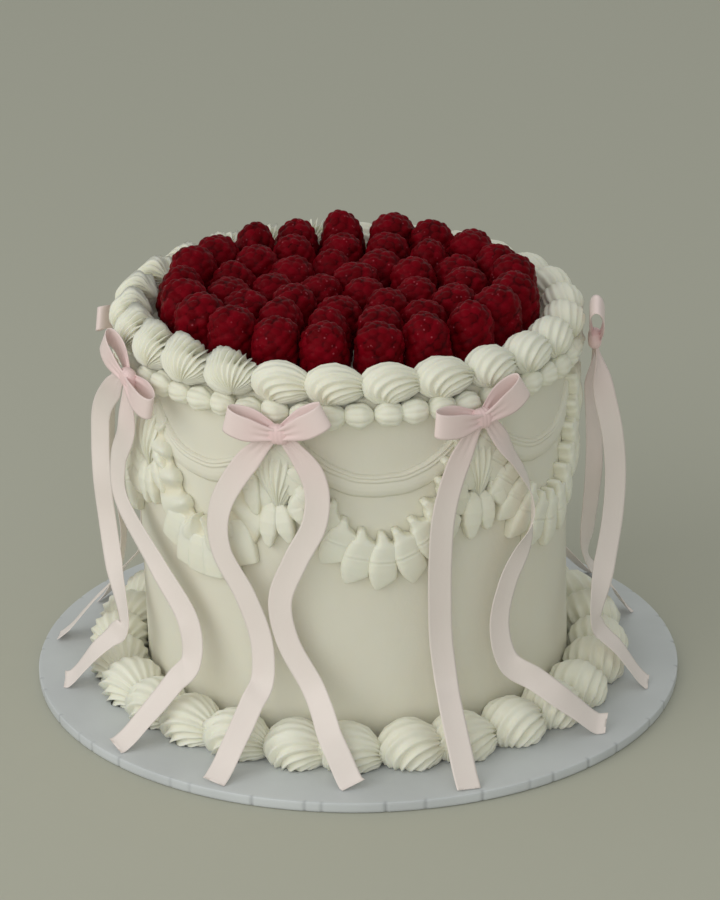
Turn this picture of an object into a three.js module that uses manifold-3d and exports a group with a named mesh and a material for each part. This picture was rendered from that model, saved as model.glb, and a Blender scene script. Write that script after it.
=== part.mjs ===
// A vintage piped cake on its round cake board: a tall iced cake with shell borders at the
// top and the base, a pearl border under the rim, string swags and ruffled garlands between
// fluted drops, satin bows with long tails, and a top filled with upright raspberries.
// Millimetres, +Z up. The origin is the middle of the board's underside. An azimuth is in
// degrees, 0 at the front (-Y) and growing towards +X.

import * as THREE from 'three';
import { mergeVertices } from 'three/addons/utils/BufferGeometryUtils.js';
import Module from 'manifold-3d';

const wasm = await Module();
wasm.setup();

// ---- Driving dimensions ----

const GAP = 0.3; // between pieces that touch

const BOARD_RADIUS = 152.4;
const BOARD_THICK = 5;
const BOARD_EDGE = 1.2; // rounding of its upper edge
const BOARD_SIDES = 48;

const CAKE_RADIUS = 100;
const CAKE_TOP = 173;
const CAKE_RIM = 2.5; // rounding of the iced rim
const CAKE_LEAN = -0.02; // how far the cake leans towards +X for each mm of height

const WALL = CAKE_RADIUS + GAP + 0.1; // where everything piped on the wall starts
const DECK = CAKE_TOP + GAP; // where everything standing on the cake starts
const BOARD_FACE = BOARD_THICK + GAP; // where everything standing on the board starts

const TOP_SHELLS = 26;
const TOP_SHELL_STEPS = 4; // columns of corners in one shell
const TOP_SHELL_NOTCH = 0.7; // size between two shells, against a shell's crown
const TOP_SHELL_LEAN = 4; // degrees a shell's outer side runs ahead of its inner side
const TOP_SHELL_TURN = 5.6; // azimuth at which the first shell starts
const TOP_SHELL_INNER = 88.5;
const TOP_SHELL_OUTER = 109.5;
const TOP_SHELL_CROWN = 188.5;

const BASE_SHELLS = 28;
const BASE_SHELL_STEPS = 5;
const BASE_SHELL_NOTCH = 0.74;
const BASE_SHELL_LEAN = 3.5;
const BASE_SHELL_TURN = 5.5;
const BASE_SHELL_OUTER = 130;
const BASE_SHELL_CROWN = 25;

const PEARL_STEPS = 2; // so two pearls lie under each shell
const PEARL_RADIUS = 6;
const PEARL_NOTCH = 0.5;
const PEARL_OUTER = 108.8;
const PEARL_HEIGHT = 166;

// Azimuths of the drops, with a bow over each, from the one left of the front.
const BOW_AZIMUTHS = [-18, 33.2, 85.5, 139, 196, 250, 298];
const BOWS = BOW_AZIMUTHS.length;
// How far each bow's knot lies beside its drop, in degrees, and its height.
const KNOTS = [[2.5, 160], [-2.7, 162], [0.2, 166], [1, 161], [-1, 160], [2, 163], [2.5, 167]];
const KNOT_RADIUS = 112.9;
const KNOT_WIDE = 5.2; // half sizes of the knot
const KNOT_TALL = 4.6;
const KNOT_DEEP = 3.2;

const RIBBON_WIDTH = 11;
const RIBBON_THICK = 1;
const LOOP_LENGTH = 24;
const LOOP_STEPS = 6;
const LOOP_BULGE = 3.4; // half of a loop's depth
const LOOP_MOUTH = 1.1; // half of the gap between a loop's layers at the knot
const LOOP_PINCH = 0.55; // width at the knot, against the full width
const TAIL_STEPS = 12;
const TAIL_TOUCH = 139; // farthest out that a tail comes down on the board
const TAIL_TIP_HEIGHT = 36; // below this a tail tips from upright to flat
const TAIL_TIP_DEPTH = 24; // over this height

const STRING_LOW = 132; // middle of a string swag at its lowest
const STRING_RISE = 26;
const STRING_BEND = 2.4;
const STRING_WIDTH = 9;
const STRING_DEPTH = 3.4;
const STRING_END = 0.46; // share of the way to each bow where the garland covers a string
const STRING_COLUMNS = [-1, -0.7, -STRING_END, -0.38, -0.19, 0, 0.19, 0.38, STRING_END, 0.7];

const GARLAND_LOW = 97; // middle of a garland at its lowest
const GARLAND_RISE = 62;
const GARLAND_BEND = 2.3;
const GARLAND_SPAN = 0.93; // share of the way to each bow that a garland covers
const GARLAND_WIDTH = 28;
const GARLAND_END_WIDTH = 19;
const GARLAND_DEPTH = 7;
const PETALS = 11;

const DROP_TOP = 153;
const DROP_LENGTH = 40;
const DROP_WIDTH = 19.5;
const DROP_DEPTH = 6.8;

const BERRY_RINGS = [
  { count: 21, radius: 76.2, tall: 26.5, wide: 20.8, turn: 10 },
  { count: 15, radius: 54.6, tall: 24.5, wide: 20.4, turn: 15 },
  { count: 9, radius: 33.2, tall: 23.5, wide: 20.2, turn: -7 },
  { count: 3, radius: 12.4, tall: 23.5, wide: 20, turn: 40 },
];
const BERRY_SIDES = 7;
const BERRY_TILT = 4; // most that a berry leans, in degrees
const BERRY_SPREAD = 0.03; // most that a berry's size differs, as a share
const BERRY_SEED = 20;

// The tails of each bow, from the bow left of the front and on towards +X. Each has its
// drift from the drop in degrees at the heights below, how far it swings out from the wall
// halfway down, and the drift and the radius of its end on the board.
const TAIL_HEIGHTS = [140, 120, 100, 80, 60, 42];
const TAIL_RADII = [111.8, 111.6, 110.8, 109.6, 109.4, 112.8];
const TAILS = [
  [
    { drift: [-7.3, -13, -13.4, -8, -4.4, -3.6], swing: 0, end: [-7.6, 148] },
    { drift: [9.9, 9.9, 4.9, 0.8, 2.3, 7.8], swing: 0, end: [17, 140] },
  ],
  [
    { drift: [-9.1, -12.2, -13.1, -13.2, -13.1, -12.8], swing: 0, end: [-14.5, 149.2] },
    { drift: [6, 11.9, 11.7, 5.4, 2.6, 3.8], swing: 0, end: [19.7, 140.6] },
  ],
  [
    { drift: [0.5, 0, -0.5, -3, -9.5, -16], swing: 12, end: [-11.8, 141] },
    { drift: [7.5, 6.5, 4, 6, 10, 15], swing: 2, end: [23, 140] },
  ],
  [
    { drift: [-7, -11, -12, -9, -6, -8], swing: 1, end: [-14, 146] },
    { drift: [6.5, 9.5, 8, 5, 6, 10], swing: 3, end: [15, 141] },
  ],
  [
    { drift: [-6, -10, -13, -10, -5, -4], swing: 2, end: [-9, 143] },
    { drift: [7, 12, 13, 8, 4, 6], swing: 0, end: [12, 147] },
  ],
  [
    { drift: [-6, -9, -8, -5, -4, -5], swing: 2, end: [-6, 141] },
    { drift: [6, 9, 11, 10, 9, 11], swing: 4, end: [13, 146] },
  ],
  [
    { drift: [-18, -22, -21.5, -21.5, -17, -6], swing: 6, end: [-14.6, 141.5] },
    { drift: [-1, -8, -8, 9, 19, 21.2], swing: 1, end: [14.4, 148] },
  ],
];
// How far each loop of a bow points up, in degrees: the left one, then the right one.
const LOOP_LIFTS = [[14, 28], [5, 31], [59, 21], [18, 22], [13, 26], [24, 17], [35, -17]];

const ICING = { color: 0xf1eedb, roughness: 0.62, metalness: 0 };
const PIPED = { color: 0xf3f1df, roughness: 0.6, metalness: 0 };
const SATIN = { color: 0xf0cfcc, roughness: 0.4, metalness: 0 };
const FOIL = { color: 0xe3e7ea, roughness: 0.35, metalness: 0 };
const BERRY = { color: 0x8e1022, roughness: 0.5, metalness: 0 };

// ---- Helpers ----

const DEGREE = Math.PI / 180;

// The unit vector that points away from the axis at an azimuth.
function outwards(azimuth) {
  return new THREE.Vector3(Math.sin(azimuth * DEGREE), -Math.cos(azimuth * DEGREE), 0);
}

// The unit vector that points towards growing azimuth.
function sideways(azimuth) {
  return outwards(azimuth + 90);
}

// The point at an azimuth, a distance from the cake's leaning axis and a height.
function polar(azimuth, radius, height) {
  const point = outwards(azimuth).multiplyScalar(radius);
  point.x += CAKE_LEAN * (height - BOARD_THICK);
  point.z = height;
  return point;
}

function mix(from, to, share) {
  return from + (to - from) * share;
}

// Numbers from 0 to 1 that are the same on every run.
function seeded(seed) {
  let state = seed;
  return () => {
    state = (state * 1664525 + 1013904223) % 4294967296;
    return state / 4294967296;
  };
}

function signedVolume(points, faces) {
  const cross = new THREE.Vector3();
  let volume = 0;
  for (const [a, b, c] of faces) {
    volume += points[a].dot(cross.crossVectors(points[b], points[c]));
  }
  return volume;
}

// A closed surface through rows of corners. Each row closes on itself, and a row of one
// corner is a pole. The rows close on themselves too when `ring` is true; otherwise a row
// with several corners at either end gets a flat lid.
function closedSurface(rows, ring = false) {
  const points = rows.flat();
  const starts = [];
  let total = 0;
  for (const row of rows) {
    starts.push(total);
    total += row.length;
  }
  const faces = [];
  const bands = ring ? rows.length : rows.length - 1;
  for (let band = 0; band < bands; band += 1) {
    const next = (band + 1) % rows.length;
    const sides = Math.max(rows[band].length, rows[next].length);
    for (let side = 0; side < sides; side += 1) {
      const other = (side + 1) % sides;
      const here = rows[band].length === 1 ? [0, 0] : [side, other];
      const there = rows[next].length === 1 ? [0, 0] : [side, other];
      const [a, b] = here.map((corner) => corner + starts[band]);
      const [d, c] = there.map((corner) => corner + starts[next]);
      if (a !== b) faces.push([a, b, c]);
      if (c !== d) faces.push([a, c, d]);
    }
  }
  if (!ring) {
    const last = rows.length - 1;
    for (let corner = 1; corner < rows[0].length - 1; corner += 1) {
      faces.push([0, corner + 1, corner]);
    }
    for (let corner = 1; corner < rows[last].length - 1; corner += 1) {
      faces.push([starts[last], starts[last] + corner, starts[last] + corner + 1]);
    }
  }
  if (signedVolume(points, faces) < 0) faces.forEach((face) => face.reverse());
  const geometry = new THREE.BufferGeometry();
  geometry.setFromPoints(points);
  geometry.setIndex(faces.flat());
  return geometry;
}

function solidOf(geometry) {
  const bare = geometry.clone();
  bare.deleteAttribute('normal');
  bare.deleteAttribute('uv');
  const merged = mergeVertices(bare);
  return new wasm.Manifold(new wasm.Mesh({
    numProp: 3,
    vertProperties: new Float32Array(merged.attributes.position.array),
    triVerts: new Uint32Array(merged.index.array),
  }));
}

// One geometry made of several that run into each other.
function joined(geometries) {
  const [first, ...others] = geometries.map(solidOf);
  const whole = others.reduce((sum, solid) => sum.add(solid), first);
  const mesh = whole.getMesh();
  const geometry = new THREE.BufferGeometry();
  geometry.setAttribute('position', new THREE.BufferAttribute(mesh.vertProperties, 3));
  geometry.setIndex(new THREE.BufferAttribute(mesh.triVerts, 1));
  return geometry;
}

function piece(name, geometry, finish) {
  geometry.computeVertexNormals();
  const mesh = new THREE.Mesh(geometry, new THREE.MeshStandardMaterial(finish));
  mesh.name = name;
  return mesh;
}

// A body of revolution about the upright axis, from a profile of [radius, height] corners
// that starts and ends on the axis.
function turned(profile, sides) {
  const outline = profile.map(([radius, height]) => new THREE.Vector2(radius, height));
  const geometry = new THREE.LatheGeometry(outline, sides);
  geometry.rotateX(Math.PI / 2);
  return geometry;
}

// ---- Board and cake ----

function board() {
  const profile = [
    [0, 0],
    [BOARD_RADIUS, 0],
    [BOARD_RADIUS, BOARD_THICK - BOARD_EDGE],
    [BOARD_RADIUS - BOARD_EDGE, BOARD_THICK],
    [0, BOARD_THICK],
  ];
  return piece('board', turned(profile, BOARD_SIDES), FOIL);
}

// The middle of the swag that follows a drop, and half of its span, in degrees.
function swagPlace(index) {
  const from = BOW_AZIMUTHS[index];
  const to = index + 1 < BOWS ? BOW_AZIMUTHS[index + 1] : BOW_AZIMUTHS[0] + 360;
  return { middle: (from + to) / 2, half: (to - from) / 2 };
}

// The height of a swag's middle line at `share` of the way between two drops, from -1 to 1.
function swagHeight(curve, share) {
  return curve.low + curve.rise * Math.abs(share) ** curve.bend;
}

// The iced cake, with a string swag standing out of its wall between each two drops.
function cake() {
  const curve = { low: STRING_LOW, rise: STRING_RISE, bend: STRING_BEND };
  const low = STRING_WIDTH / 2;
  const levels = [[], [], [], [], [], [], []];
  for (let swag = 0; swag < BOWS; swag += 1) {
    const { middle, half } = swagPlace(swag);
    for (const share of STRING_COLUMNS) {
      const azimuth = middle + share * half;
      const depth = Math.abs(share) < STRING_END ? STRING_DEPTH : 0;
      const height = swagHeight(curve, share);
      const corners = [
        [CAKE_RADIUS, BOARD_FACE],
        [CAKE_RADIUS, height - low],
        [CAKE_RADIUS + 0.7 * depth, height - low + 1.4],
        [CAKE_RADIUS + depth, height + low - 1.6],
        [CAKE_RADIUS, height + low],
        [CAKE_RADIUS, CAKE_TOP - CAKE_RIM],
        [CAKE_RADIUS - CAKE_RIM, CAKE_TOP],
      ];
      corners.forEach(([radius, level], index) => {
        levels[index].push(polar(azimuth, radius, level));
      });
    }
  }
  const foot = polar(0, 0, BOARD_FACE);
  const top = polar(0, 0, CAKE_TOP);
  return piece('cake', closedSurface([[foot], ...levels, [top]]), ICING);
}

// ---- Piped borders ----

// One column of corners through a row of piped blobs. `section` is the outline of a blob's
// crown as [radius, height] corners, and `seat` the corner of the wall and floor it sits in.
// Between two blobs the outline shrinks towards the seat to `notch` of its size, and towards
// the outside a blob runs ahead by `lean` degrees. `column` counts through the ring from the
// azimuth `turn`, with `steps` columns to a blob and `columns` in all.
function blobColumn({ section, seat, notch, lean, steps, turn }, column, columns) {
  const radii = section.map(([radius]) => radius);
  const inner = Math.min(...radii);
  const outer = Math.max(...radii);
  const share = (column % steps) / steps;
  const size = mix(notch, 1, Math.sin(Math.PI * share ** 0.8));
  return section.map(([radius, height]) => {
    const ahead = lean * ((radius - inner) / (outer - inner) - 0.5);
    const azimuth = turn + (column / columns) * 360 + ahead;
    return polar(azimuth, mix(seat[0], radius, size), mix(seat[1], height, size));
  });
}

// The shells on the rim and the pearls under them, which touch and are one piece.
function topBorder() {
  const shells = {
    section: [
      [TOP_SHELL_OUTER, TOP_SHELL_CROWN - 12],
      [TOP_SHELL_OUTER - 6, TOP_SHELL_CROWN - 2.5],
      [TOP_SHELL_INNER + 10, TOP_SHELL_CROWN],
      [TOP_SHELL_INNER + 1, TOP_SHELL_CROWN - 6],
      [TOP_SHELL_INNER, DECK],
    ],
    seat: [WALL, DECK],
    notch: TOP_SHELL_NOTCH,
    lean: TOP_SHELL_LEAN,
    steps: TOP_SHELL_STEPS,
    turn: TOP_SHELL_TURN,
  };
  const pearls = {
    section: [
      [PEARL_OUTER - 3.5, PEARL_HEIGHT - PEARL_RADIUS + 0.6],
      [PEARL_OUTER, PEARL_HEIGHT],
      [PEARL_OUTER - 3.5, PEARL_HEIGHT + PEARL_RADIUS - 0.6],
    ],
    seat: [WALL, PEARL_HEIGHT],
    notch: PEARL_NOTCH,
    lean: 0,
    steps: PEARL_STEPS,
    turn: TOP_SHELL_TURN,
  };
  const columns = TOP_SHELLS * TOP_SHELL_STEPS;
  const rows = [];
  for (let column = 0; column < columns; column += 1) {
    const azimuth = TOP_SHELL_TURN + (column / columns) * 360;
    const rim = [polar(azimuth, WALL, DECK), polar(azimuth, WALL, PEARL_HEIGHT - 3)];
    rows.push([
      ...rim,
      ...blobColumn(pearls, column, columns),
      ...blobColumn(shells, column, columns),
    ]);
  }
  return piece('top_border', closedSurface(rows, true), PIPED);
}

function baseBorder() {
  const shells = {
    section: [
      [WALL, BOARD_FACE],
      [WALL, BASE_SHELL_CROWN - 8],
      [CAKE_RADIUS + 9, BASE_SHELL_CROWN],
      [CAKE_RADIUS + 19, BASE_SHELL_CROWN - 2.5],
      [BASE_SHELL_OUTER, BASE_SHELL_CROWN - 13],
      [BASE_SHELL_OUTER - 1.5, BOARD_FACE],
    ],
    seat: [WALL, BOARD_FACE],
    notch: BASE_SHELL_NOTCH,
    lean: BASE_SHELL_LEAN,
    steps: BASE_SHELL_STEPS,
    turn: BASE_SHELL_TURN,
  };
  const columns = BASE_SHELLS * BASE_SHELL_STEPS;
  const rows = [];
  for (let column = 0; column < columns; column += 1) {
    rows.push(blobColumn(shells, column, columns));
  }
  return piece('base_border', closedSurface(rows, true), PIPED);
}

// ---- Garlands and drops on the wall ----

// A row of corners across a band on the wall, at `share` of the way between two drops, from
// -1 to 1. The corners are given as [offset across the band, radius].
function bandRow({ middle, half }, share, curve, corners) {
  const height = swagHeight(curve, share);
  const climb = (curve.rise * curve.bend * Math.abs(share) ** (curve.bend - 1)) * Math.sign(share);
  const slope = Math.atan2(climb, half * DEGREE * CAKE_RADIUS);
  return corners.map(([offset, radius]) => {
    const drift = (-Math.sin(slope) * offset) / (CAKE_RADIUS * DEGREE);
    const azimuth = middle + share * half + drift;
    return polar(azimuth, radius, height + Math.cos(slope) * offset);
  });
}

// Shares from -span to span that lie at equal steps along the curve of a swag that spans
// `half` degrees to either side.
function evenShares(curve, half, span, steps) {
  const fine = 400;
  const reach = half * DEGREE * CAKE_RADIUS;
  const shares = [];
  const lengths = [0];
  for (let index = 0; index <= fine; index += 1) {
    shares.push(mix(-span, span, index / fine));
  }
  for (let index = 1; index <= fine; index += 1) {
    const across = (shares[index] - shares[index - 1]) * reach;
    const up = swagHeight(curve, shares[index]) - swagHeight(curve, shares[index - 1]);
    lengths.push(lengths[index - 1] + Math.hypot(across, up));
  }
  const even = [];
  for (let step = 0; step <= steps; step += 1) {
    const wanted = (lengths[fine] * step) / steps;
    const after = Math.max(1, lengths.findIndex((length) => length >= wanted - 1e-9));
    const part = (wanted - lengths[after - 1]) / (lengths[after] - lengths[after - 1]);
    even.push(mix(shares[after - 1], shares[after], part));
  }
  return even;
}

// The ruffle: pointed petals side by side along the garland, creased along their middle.
function garland(place) {
  const curve = { low: GARLAND_LOW, rise: GARLAND_RISE, bend: GARLAND_BEND };
  const shares = evenShares(curve, place.half, GARLAND_SPAN, 2 * PETALS);
  const rows = shares.map((share, index) => {
    const crest = index % 2 === 1;
    const width = mix(GARLAND_WIDTH, GARLAND_END_WIDTH, Math.abs(share) ** 2);
    const half = (crest ? width : 0.68 * width) / 2;
    const depth = crest ? GARLAND_DEPTH : 0.55 * GARLAND_DEPTH;
    const lip = crest ? 2.4 : 1;
    const corners = [[half, WALL + lip], [0, WALL + depth], [-half, WALL + lip], [0, WALL]];
    return bandRow(place, share, curve, corners);
  });
  return closedSurface(rows);
}

// The fluted drop under a bow: wide and round at its top, narrow at its foot.
function drop(azimuth) {
  const shapes = [
    { down: 0.06, wide: 0.55, deep: 0.5 },
    { down: 0.25, wide: 1, deep: 1 },
    { down: 0.55, wide: 0.8, deep: 0.9 },
    { down: 0.85, wide: 0.38, deep: 0.6 },
  ];
  const half = DROP_WIDTH / 2 / (CAKE_RADIUS * DEGREE);
  const rows = shapes.map(({ down, wide, deep }) => {
    const height = DROP_TOP - down * DROP_LENGTH;
    const outline = [[-1, 0.12], [-0.6, 0.75], [0, 1], [0.6, 0.75], [1, 0.12], [0, 0]];
    return outline.map(([side, rise]) => {
      const radius = WALL + rise * deep * DROP_DEPTH;
      return polar(azimuth + side * wide * half, radius, height);
    });
  });
  const tip = polar(azimuth, WALL + 1, DROP_TOP);
  const foot = polar(azimuth, WALL + 1, DROP_TOP - DROP_LENGTH);
  return closedSurface([[tip], ...rows, [foot]]);
}

function garlands() {
  const pieces = [];
  BOW_AZIMUTHS.forEach((azimuth, index) => {
    pieces.push(drop(azimuth), garland(swagPlace(index)));
  });
  return piece('garland', joined(pieces), PIPED);
}

// ---- Bows ----

// A flat band through stations, each with its point, the unit vectors across and through
// the band, and its width there.
function band(stations) {
  const rows = stations.map(({ point, across, through, width }) => {
    const corners = [[-1, -1], [1, -1], [1, 1], [-1, 1]];
    return corners.map(([side, face]) => point.clone()
      .addScaledVector(across, (side * width) / 2)
      .addScaledVector(through, (face * RIBBON_THICK) / 2));
  });
  return closedSurface(rows);
}

// One loop of a bow: a band that leaves the knot, turns round and comes back behind.
function bowLoop(azimuth, height, side, lift) {
  const centre = polar(azimuth, KNOT_RADIUS + 0.8, height);
  const out = outwards(azimuth);
  const reach = sideways(azimuth).multiplyScalar(side * Math.cos(lift * DEGREE));
  reach.z = Math.sin(lift * DEGREE);
  const across = new THREE.Vector3().crossVectors(out, reach);
  const points = [];
  const widths = [];
  for (let step = 0; step <= LOOP_STEPS; step += 1) {
    const turn = (step / LOOP_STEPS) * 2 * Math.PI;
    const along = (LOOP_LENGTH * (1 - Math.cos(turn))) / 2;
    const depth = LOOP_BULGE * Math.sin(turn) * Math.sin(turn / 2) + LOOP_MOUTH * Math.cos(turn / 2);
    points.push(centre.clone().addScaledVector(reach, along).addScaledVector(out, depth));
    const spread = Math.min(1, along / (0.5 * LOOP_LENGTH));
    widths.push(RIBBON_WIDTH * mix(LOOP_PINCH, 1, spread));
  }
  const stations = points.map((point, index) => {
    const before = points[Math.max(0, index - 1)];
    const after = points[Math.min(LOOP_STEPS, index + 1)];
    const along = after.clone().sub(before).normalize();
    const through = new THREE.Vector3().crossVectors(along, across).normalize();
    return { point, across, through, width: widths[index] };
  });
  return band(stations);
}

// One tail: it falls from the knot, passes over the base shells and lies on the board. The
// azimuth is that of the drop below the bow.
function bowTail(azimuth, [knotTurn, knotHeight], { drift, swing, end }) {
  const [endDrift, reach] = end;
  const lying = BOARD_FACE + RIBBON_THICK / 2 + 0.3;
  const touch = Math.min(reach - 2, TAIL_TOUCH);
  const lastDrift = drift[drift.length - 1];
  const leave = mix(knotTurn, drift[0], 0.12);
  const route = [polar(azimuth + leave, KNOT_RADIUS, knotHeight)];
  drift.forEach((degrees, index) => {
    const swung = swing * Math.sin((Math.PI * (index + 1)) / (drift.length + 1));
    route.push(polar(azimuth + degrees, TAIL_RADII[index] + swung, TAIL_HEIGHTS[index]));
  });
  // Where it passes over the base shells: share of the drift, radius and height.
  const overShells = [
    [0.3, 120.5, 32],
    [0.5, 128, 24.5],
    [0.7, touch - 3.5, 13],
    [0.85, touch, lying],
  ];
  for (const [share, radius, height] of overShells) {
    route.push(polar(azimuth + mix(lastDrift, endDrift, share), radius, height));
  }
  route.push(polar(azimuth + endDrift, reach, lying));
  const points = new THREE.CatmullRomCurve3(route).getSpacedPoints(TAIL_STEPS);
  for (const point of points) point.z = Math.max(point.z, lying);
  const stations = points.map((point, index) => {
    const before = points[Math.max(0, index - 1)];
    const after = points[Math.min(points.length - 1, index + 1)];
    const along = after.clone().sub(before).normalize();
    const flat = THREE.MathUtils.smoothstep(TAIL_TIP_HEIGHT - point.z, 0, TAIL_TIP_DEPTH);
    const facing = new THREE.Vector3(point.x, point.y, 0).normalize().multiplyScalar(1 - flat);
    facing.z = flat;
    const across = new THREE.Vector3().crossVectors(along, facing).normalize();
    const through = new THREE.Vector3().crossVectors(across, along).normalize();
    const pinch = mix(LOOP_PINCH, 1, Math.min(1, index / 2));
    return { point, across, through, width: RIBBON_WIDTH * pinch };
  });
  return band(stations);
}

// The knot: a block drawn tight round the middle of the bow.
function knot(azimuth, height) {
  const centre = polar(azimuth, KNOT_RADIUS, height);
  const out = outwards(azimuth);
  const side = sideways(azimuth);
  const rows = [-1, 1].map((end) => [[-1, -1], [1, -1], [1, 1], [-1, 1]].map(([deep, tall]) => {
    const corner = centre.clone().addScaledVector(side, end * KNOT_WIDE);
    corner.addScaledVector(out, deep * KNOT_DEEP);
    corner.z += tall * KNOT_TALL;
    return corner;
  }));
  return closedSurface(rows);
}

function bow(index) {
  const [knotTurn, knotHeight] = KNOTS[index];
  const azimuth = BOW_AZIMUTHS[index] + knotTurn;
  const [leftLift, rightLift] = LOOP_LIFTS[index];
  const parts = [
    knot(azimuth, knotHeight),
    bowLoop(azimuth, knotHeight, -1, leftLift),
    bowLoop(azimuth, knotHeight, 1, rightLift),
    ...TAILS[index].map((tail) => bowTail(BOW_AZIMUTHS[index], KNOTS[index], tail)),
  ];
  return piece(`bow_${index + 1}`, joined(parts), SATIN);
}

// ---- Raspberries ----

// One raspberry, upright on the cake: a blunt cone that is widest below its middle.
function berry(azimuth, radius, tall, wide, tilt, tiltTowards) {
  const outline = [[0, 0.74], [0.3, 1], [0.64, 0.9], [0.9, 0.5]];
  const rows = outline.map(([rise, spread], level) => {
    const row = [];
    for (let side = 0; side < BERRY_SIDES; side += 1) {
      const angle = ((side + level / 2) / BERRY_SIDES) * 2 * Math.PI;
      const reach = (spread * wide) / 2;
      row.push(new THREE.Vector3(reach * Math.cos(angle), reach * Math.sin(angle), rise * tall));
    }
    return row;
  });
  const foot = new THREE.Vector3(0, 0, 0);
  const tip = new THREE.Vector3(0, 0, tall);
  const geometry = closedSurface([[foot], ...rows, [tip]]);
  geometry.applyMatrix4(new THREE.Matrix4().makeRotationAxis(outwards(tiltTowards), tilt * DEGREE));
  const lift = Math.sin(tilt * DEGREE) * wide * 0.37;
  const place = polar(azimuth, radius, DECK + lift);
  geometry.translate(place.x, place.y, place.z);
  return geometry;
}

function berries() {
  const draw = seeded(BERRY_SEED);
  const pieces = [];
  for (const { count, radius, tall, wide, turn } of BERRY_RINGS) {
    for (let index = 0; index < count; index += 1) {
      const azimuth = turn + (index / count) * 360;
      const size = 1 + BERRY_SPREAD * (2 * draw() - 1);
      const height = tall * (1 + 2 * BERRY_SPREAD * (2 * draw() - 1));
      const tilt = BERRY_TILT * draw();
      const geometry = berry(azimuth, radius, height, wide * size, tilt, 360 * draw());
      const number = String(pieces.length + 1).padStart(2, '0');
      pieces.push(piece(`berry_${number}`, geometry, BERRY));
    }
  }
  return pieces;
}

// ---- The whole cake ----

const whole = new THREE.Group();
whole.add(board(), cake(), topBorder(), baseBorder(), garlands());
for (let index = 0; index < BOWS; index += 1) whole.add(bow(index));
whole.add(...berries());

export default whole;
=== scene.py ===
"""A tall piped cake on a thin round board, with bows, garlands and upright raspberries."""

import logging
import math
from dataclasses import dataclass
from enum import Enum

import bpy
import numpy as np
from mathutils import Matrix, Vector


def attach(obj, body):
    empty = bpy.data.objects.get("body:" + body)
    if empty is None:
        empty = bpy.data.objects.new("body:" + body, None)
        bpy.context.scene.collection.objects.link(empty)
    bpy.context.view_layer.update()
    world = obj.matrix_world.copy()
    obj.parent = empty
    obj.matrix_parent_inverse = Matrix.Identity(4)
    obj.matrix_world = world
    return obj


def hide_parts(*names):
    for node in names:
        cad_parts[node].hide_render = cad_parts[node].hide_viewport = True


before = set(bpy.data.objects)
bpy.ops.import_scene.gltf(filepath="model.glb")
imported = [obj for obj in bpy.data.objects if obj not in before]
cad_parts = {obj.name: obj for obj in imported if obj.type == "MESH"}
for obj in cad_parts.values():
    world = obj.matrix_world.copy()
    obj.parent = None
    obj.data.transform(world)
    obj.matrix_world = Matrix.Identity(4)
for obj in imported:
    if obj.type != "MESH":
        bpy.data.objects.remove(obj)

LOG = logging.getLogger("cake")
MM = 0.001

Number = float | np.ndarray
Triple = tuple[float, float, float]
Feed = float | tuple | bpy.types.NodeSocket

# Sizes in mm and degrees. Azimuth 0 is the front, and it grows towards the right-hand side.
# The cake leans to the left by LEAN mm for each mm of height above the board.
LEAN = -0.02
BOARD_RADIUS = 152.4
BOARD_THICK = 5.0
BOARD_FACE = 5.3
CAKE_RADIUS = 100.0
CAKE_TOP = 173.0
WALL = 100.4
DECK = 173.3
GOLDEN_ANGLE = 137.508
BOW_AZIMUTHS = (-18.0, 33.2, 85.5, 139.0, 196.0, 250.0, 298.0)


# ---- Places and surfaces ----


def polar(azimuth: Number, radius: Number, height: Number) -> np.ndarray:
    """Points at azimuths, distances from the leaning axis and heights.

    x is radius times the azimuth's sine plus the lean, y is minus radius times its cosine.

    Args:
        azimuth: degrees from the front.
        radius: mm from the cake's axis.
        height: mm above the board's underside.

    Returns:
        Points in mm, with the coordinates last.
    """
    angle = np.radians(azimuth)
    x = radius * np.sin(angle) + LEAN * (np.asarray(height, float) - BOARD_THICK)
    y = -radius * np.cos(angle)
    return np.stack(np.broadcast_arrays(x, y, height), axis=-1).astype(float)


def outwards(azimuth: float) -> np.ndarray:
    """The level unit vector away from the axis at an azimuth in degrees."""
    angle = math.radians(azimuth)
    return np.array([math.sin(angle), -math.cos(angle), 0.0])


def unit(vectors: np.ndarray) -> np.ndarray:
    """The vectors at length one."""
    vectors = np.asarray(vectors, float)
    return vectors / np.linalg.norm(vectors, axis=-1, keepdims=True)


def smooth(low: float, high: float, value: Number) -> np.ndarray:
    """A soft step from 0 at `low` to 1 at `high`: with t the share, 3 t squared - 2 t cubed."""
    share = np.clip((np.asarray(value, float) - low) / (high - low), 0, 1)
    return share * share * (3 - 2 * share)


def ripple(points: np.ndarray, size: float, seed: int) -> np.ndarray:
    """Smooth unevenness in about -1 to 1: the sum of six crossed sine waves `size` mm long.

    Args:
        points: places in mm.
        size: the waves' usual length in mm.
        seed: the draw the waves come from.

    Returns:
        One value for each point.
    """
    draw = np.random.default_rng(seed)
    waves = draw.normal(size=(6, 3)) * (2 * math.pi / size / 1.7)
    phases = draw.uniform(0, 2 * math.pi, 6)
    return np.sin(points @ waves.T + phases).sum(axis=-1) / math.sqrt(6)


@dataclass
class Surface:
    """A closed surface: points in mm, four-sided and three-sided faces, and point values."""

    points: np.ndarray
    quads: np.ndarray
    tris: np.ndarray
    values: dict[str, np.ndarray]

    def volume(self) -> float:
        """The sum over the faces' triangles of a times (b cross c).

        Returns:
            Six times the enclosed volume, negative if the faces look inwards.
        """
        q, t, p = self.quads, self.tris, self.points
        corners = np.concatenate([q[:, [0, 1, 2]], q[:, [0, 2, 3]], t])
        a, b, c = p[corners[:, 0]], p[corners[:, 1]], p[corners[:, 2]]
        return float(np.einsum("ij,ij->", a, np.cross(b, c)))


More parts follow.
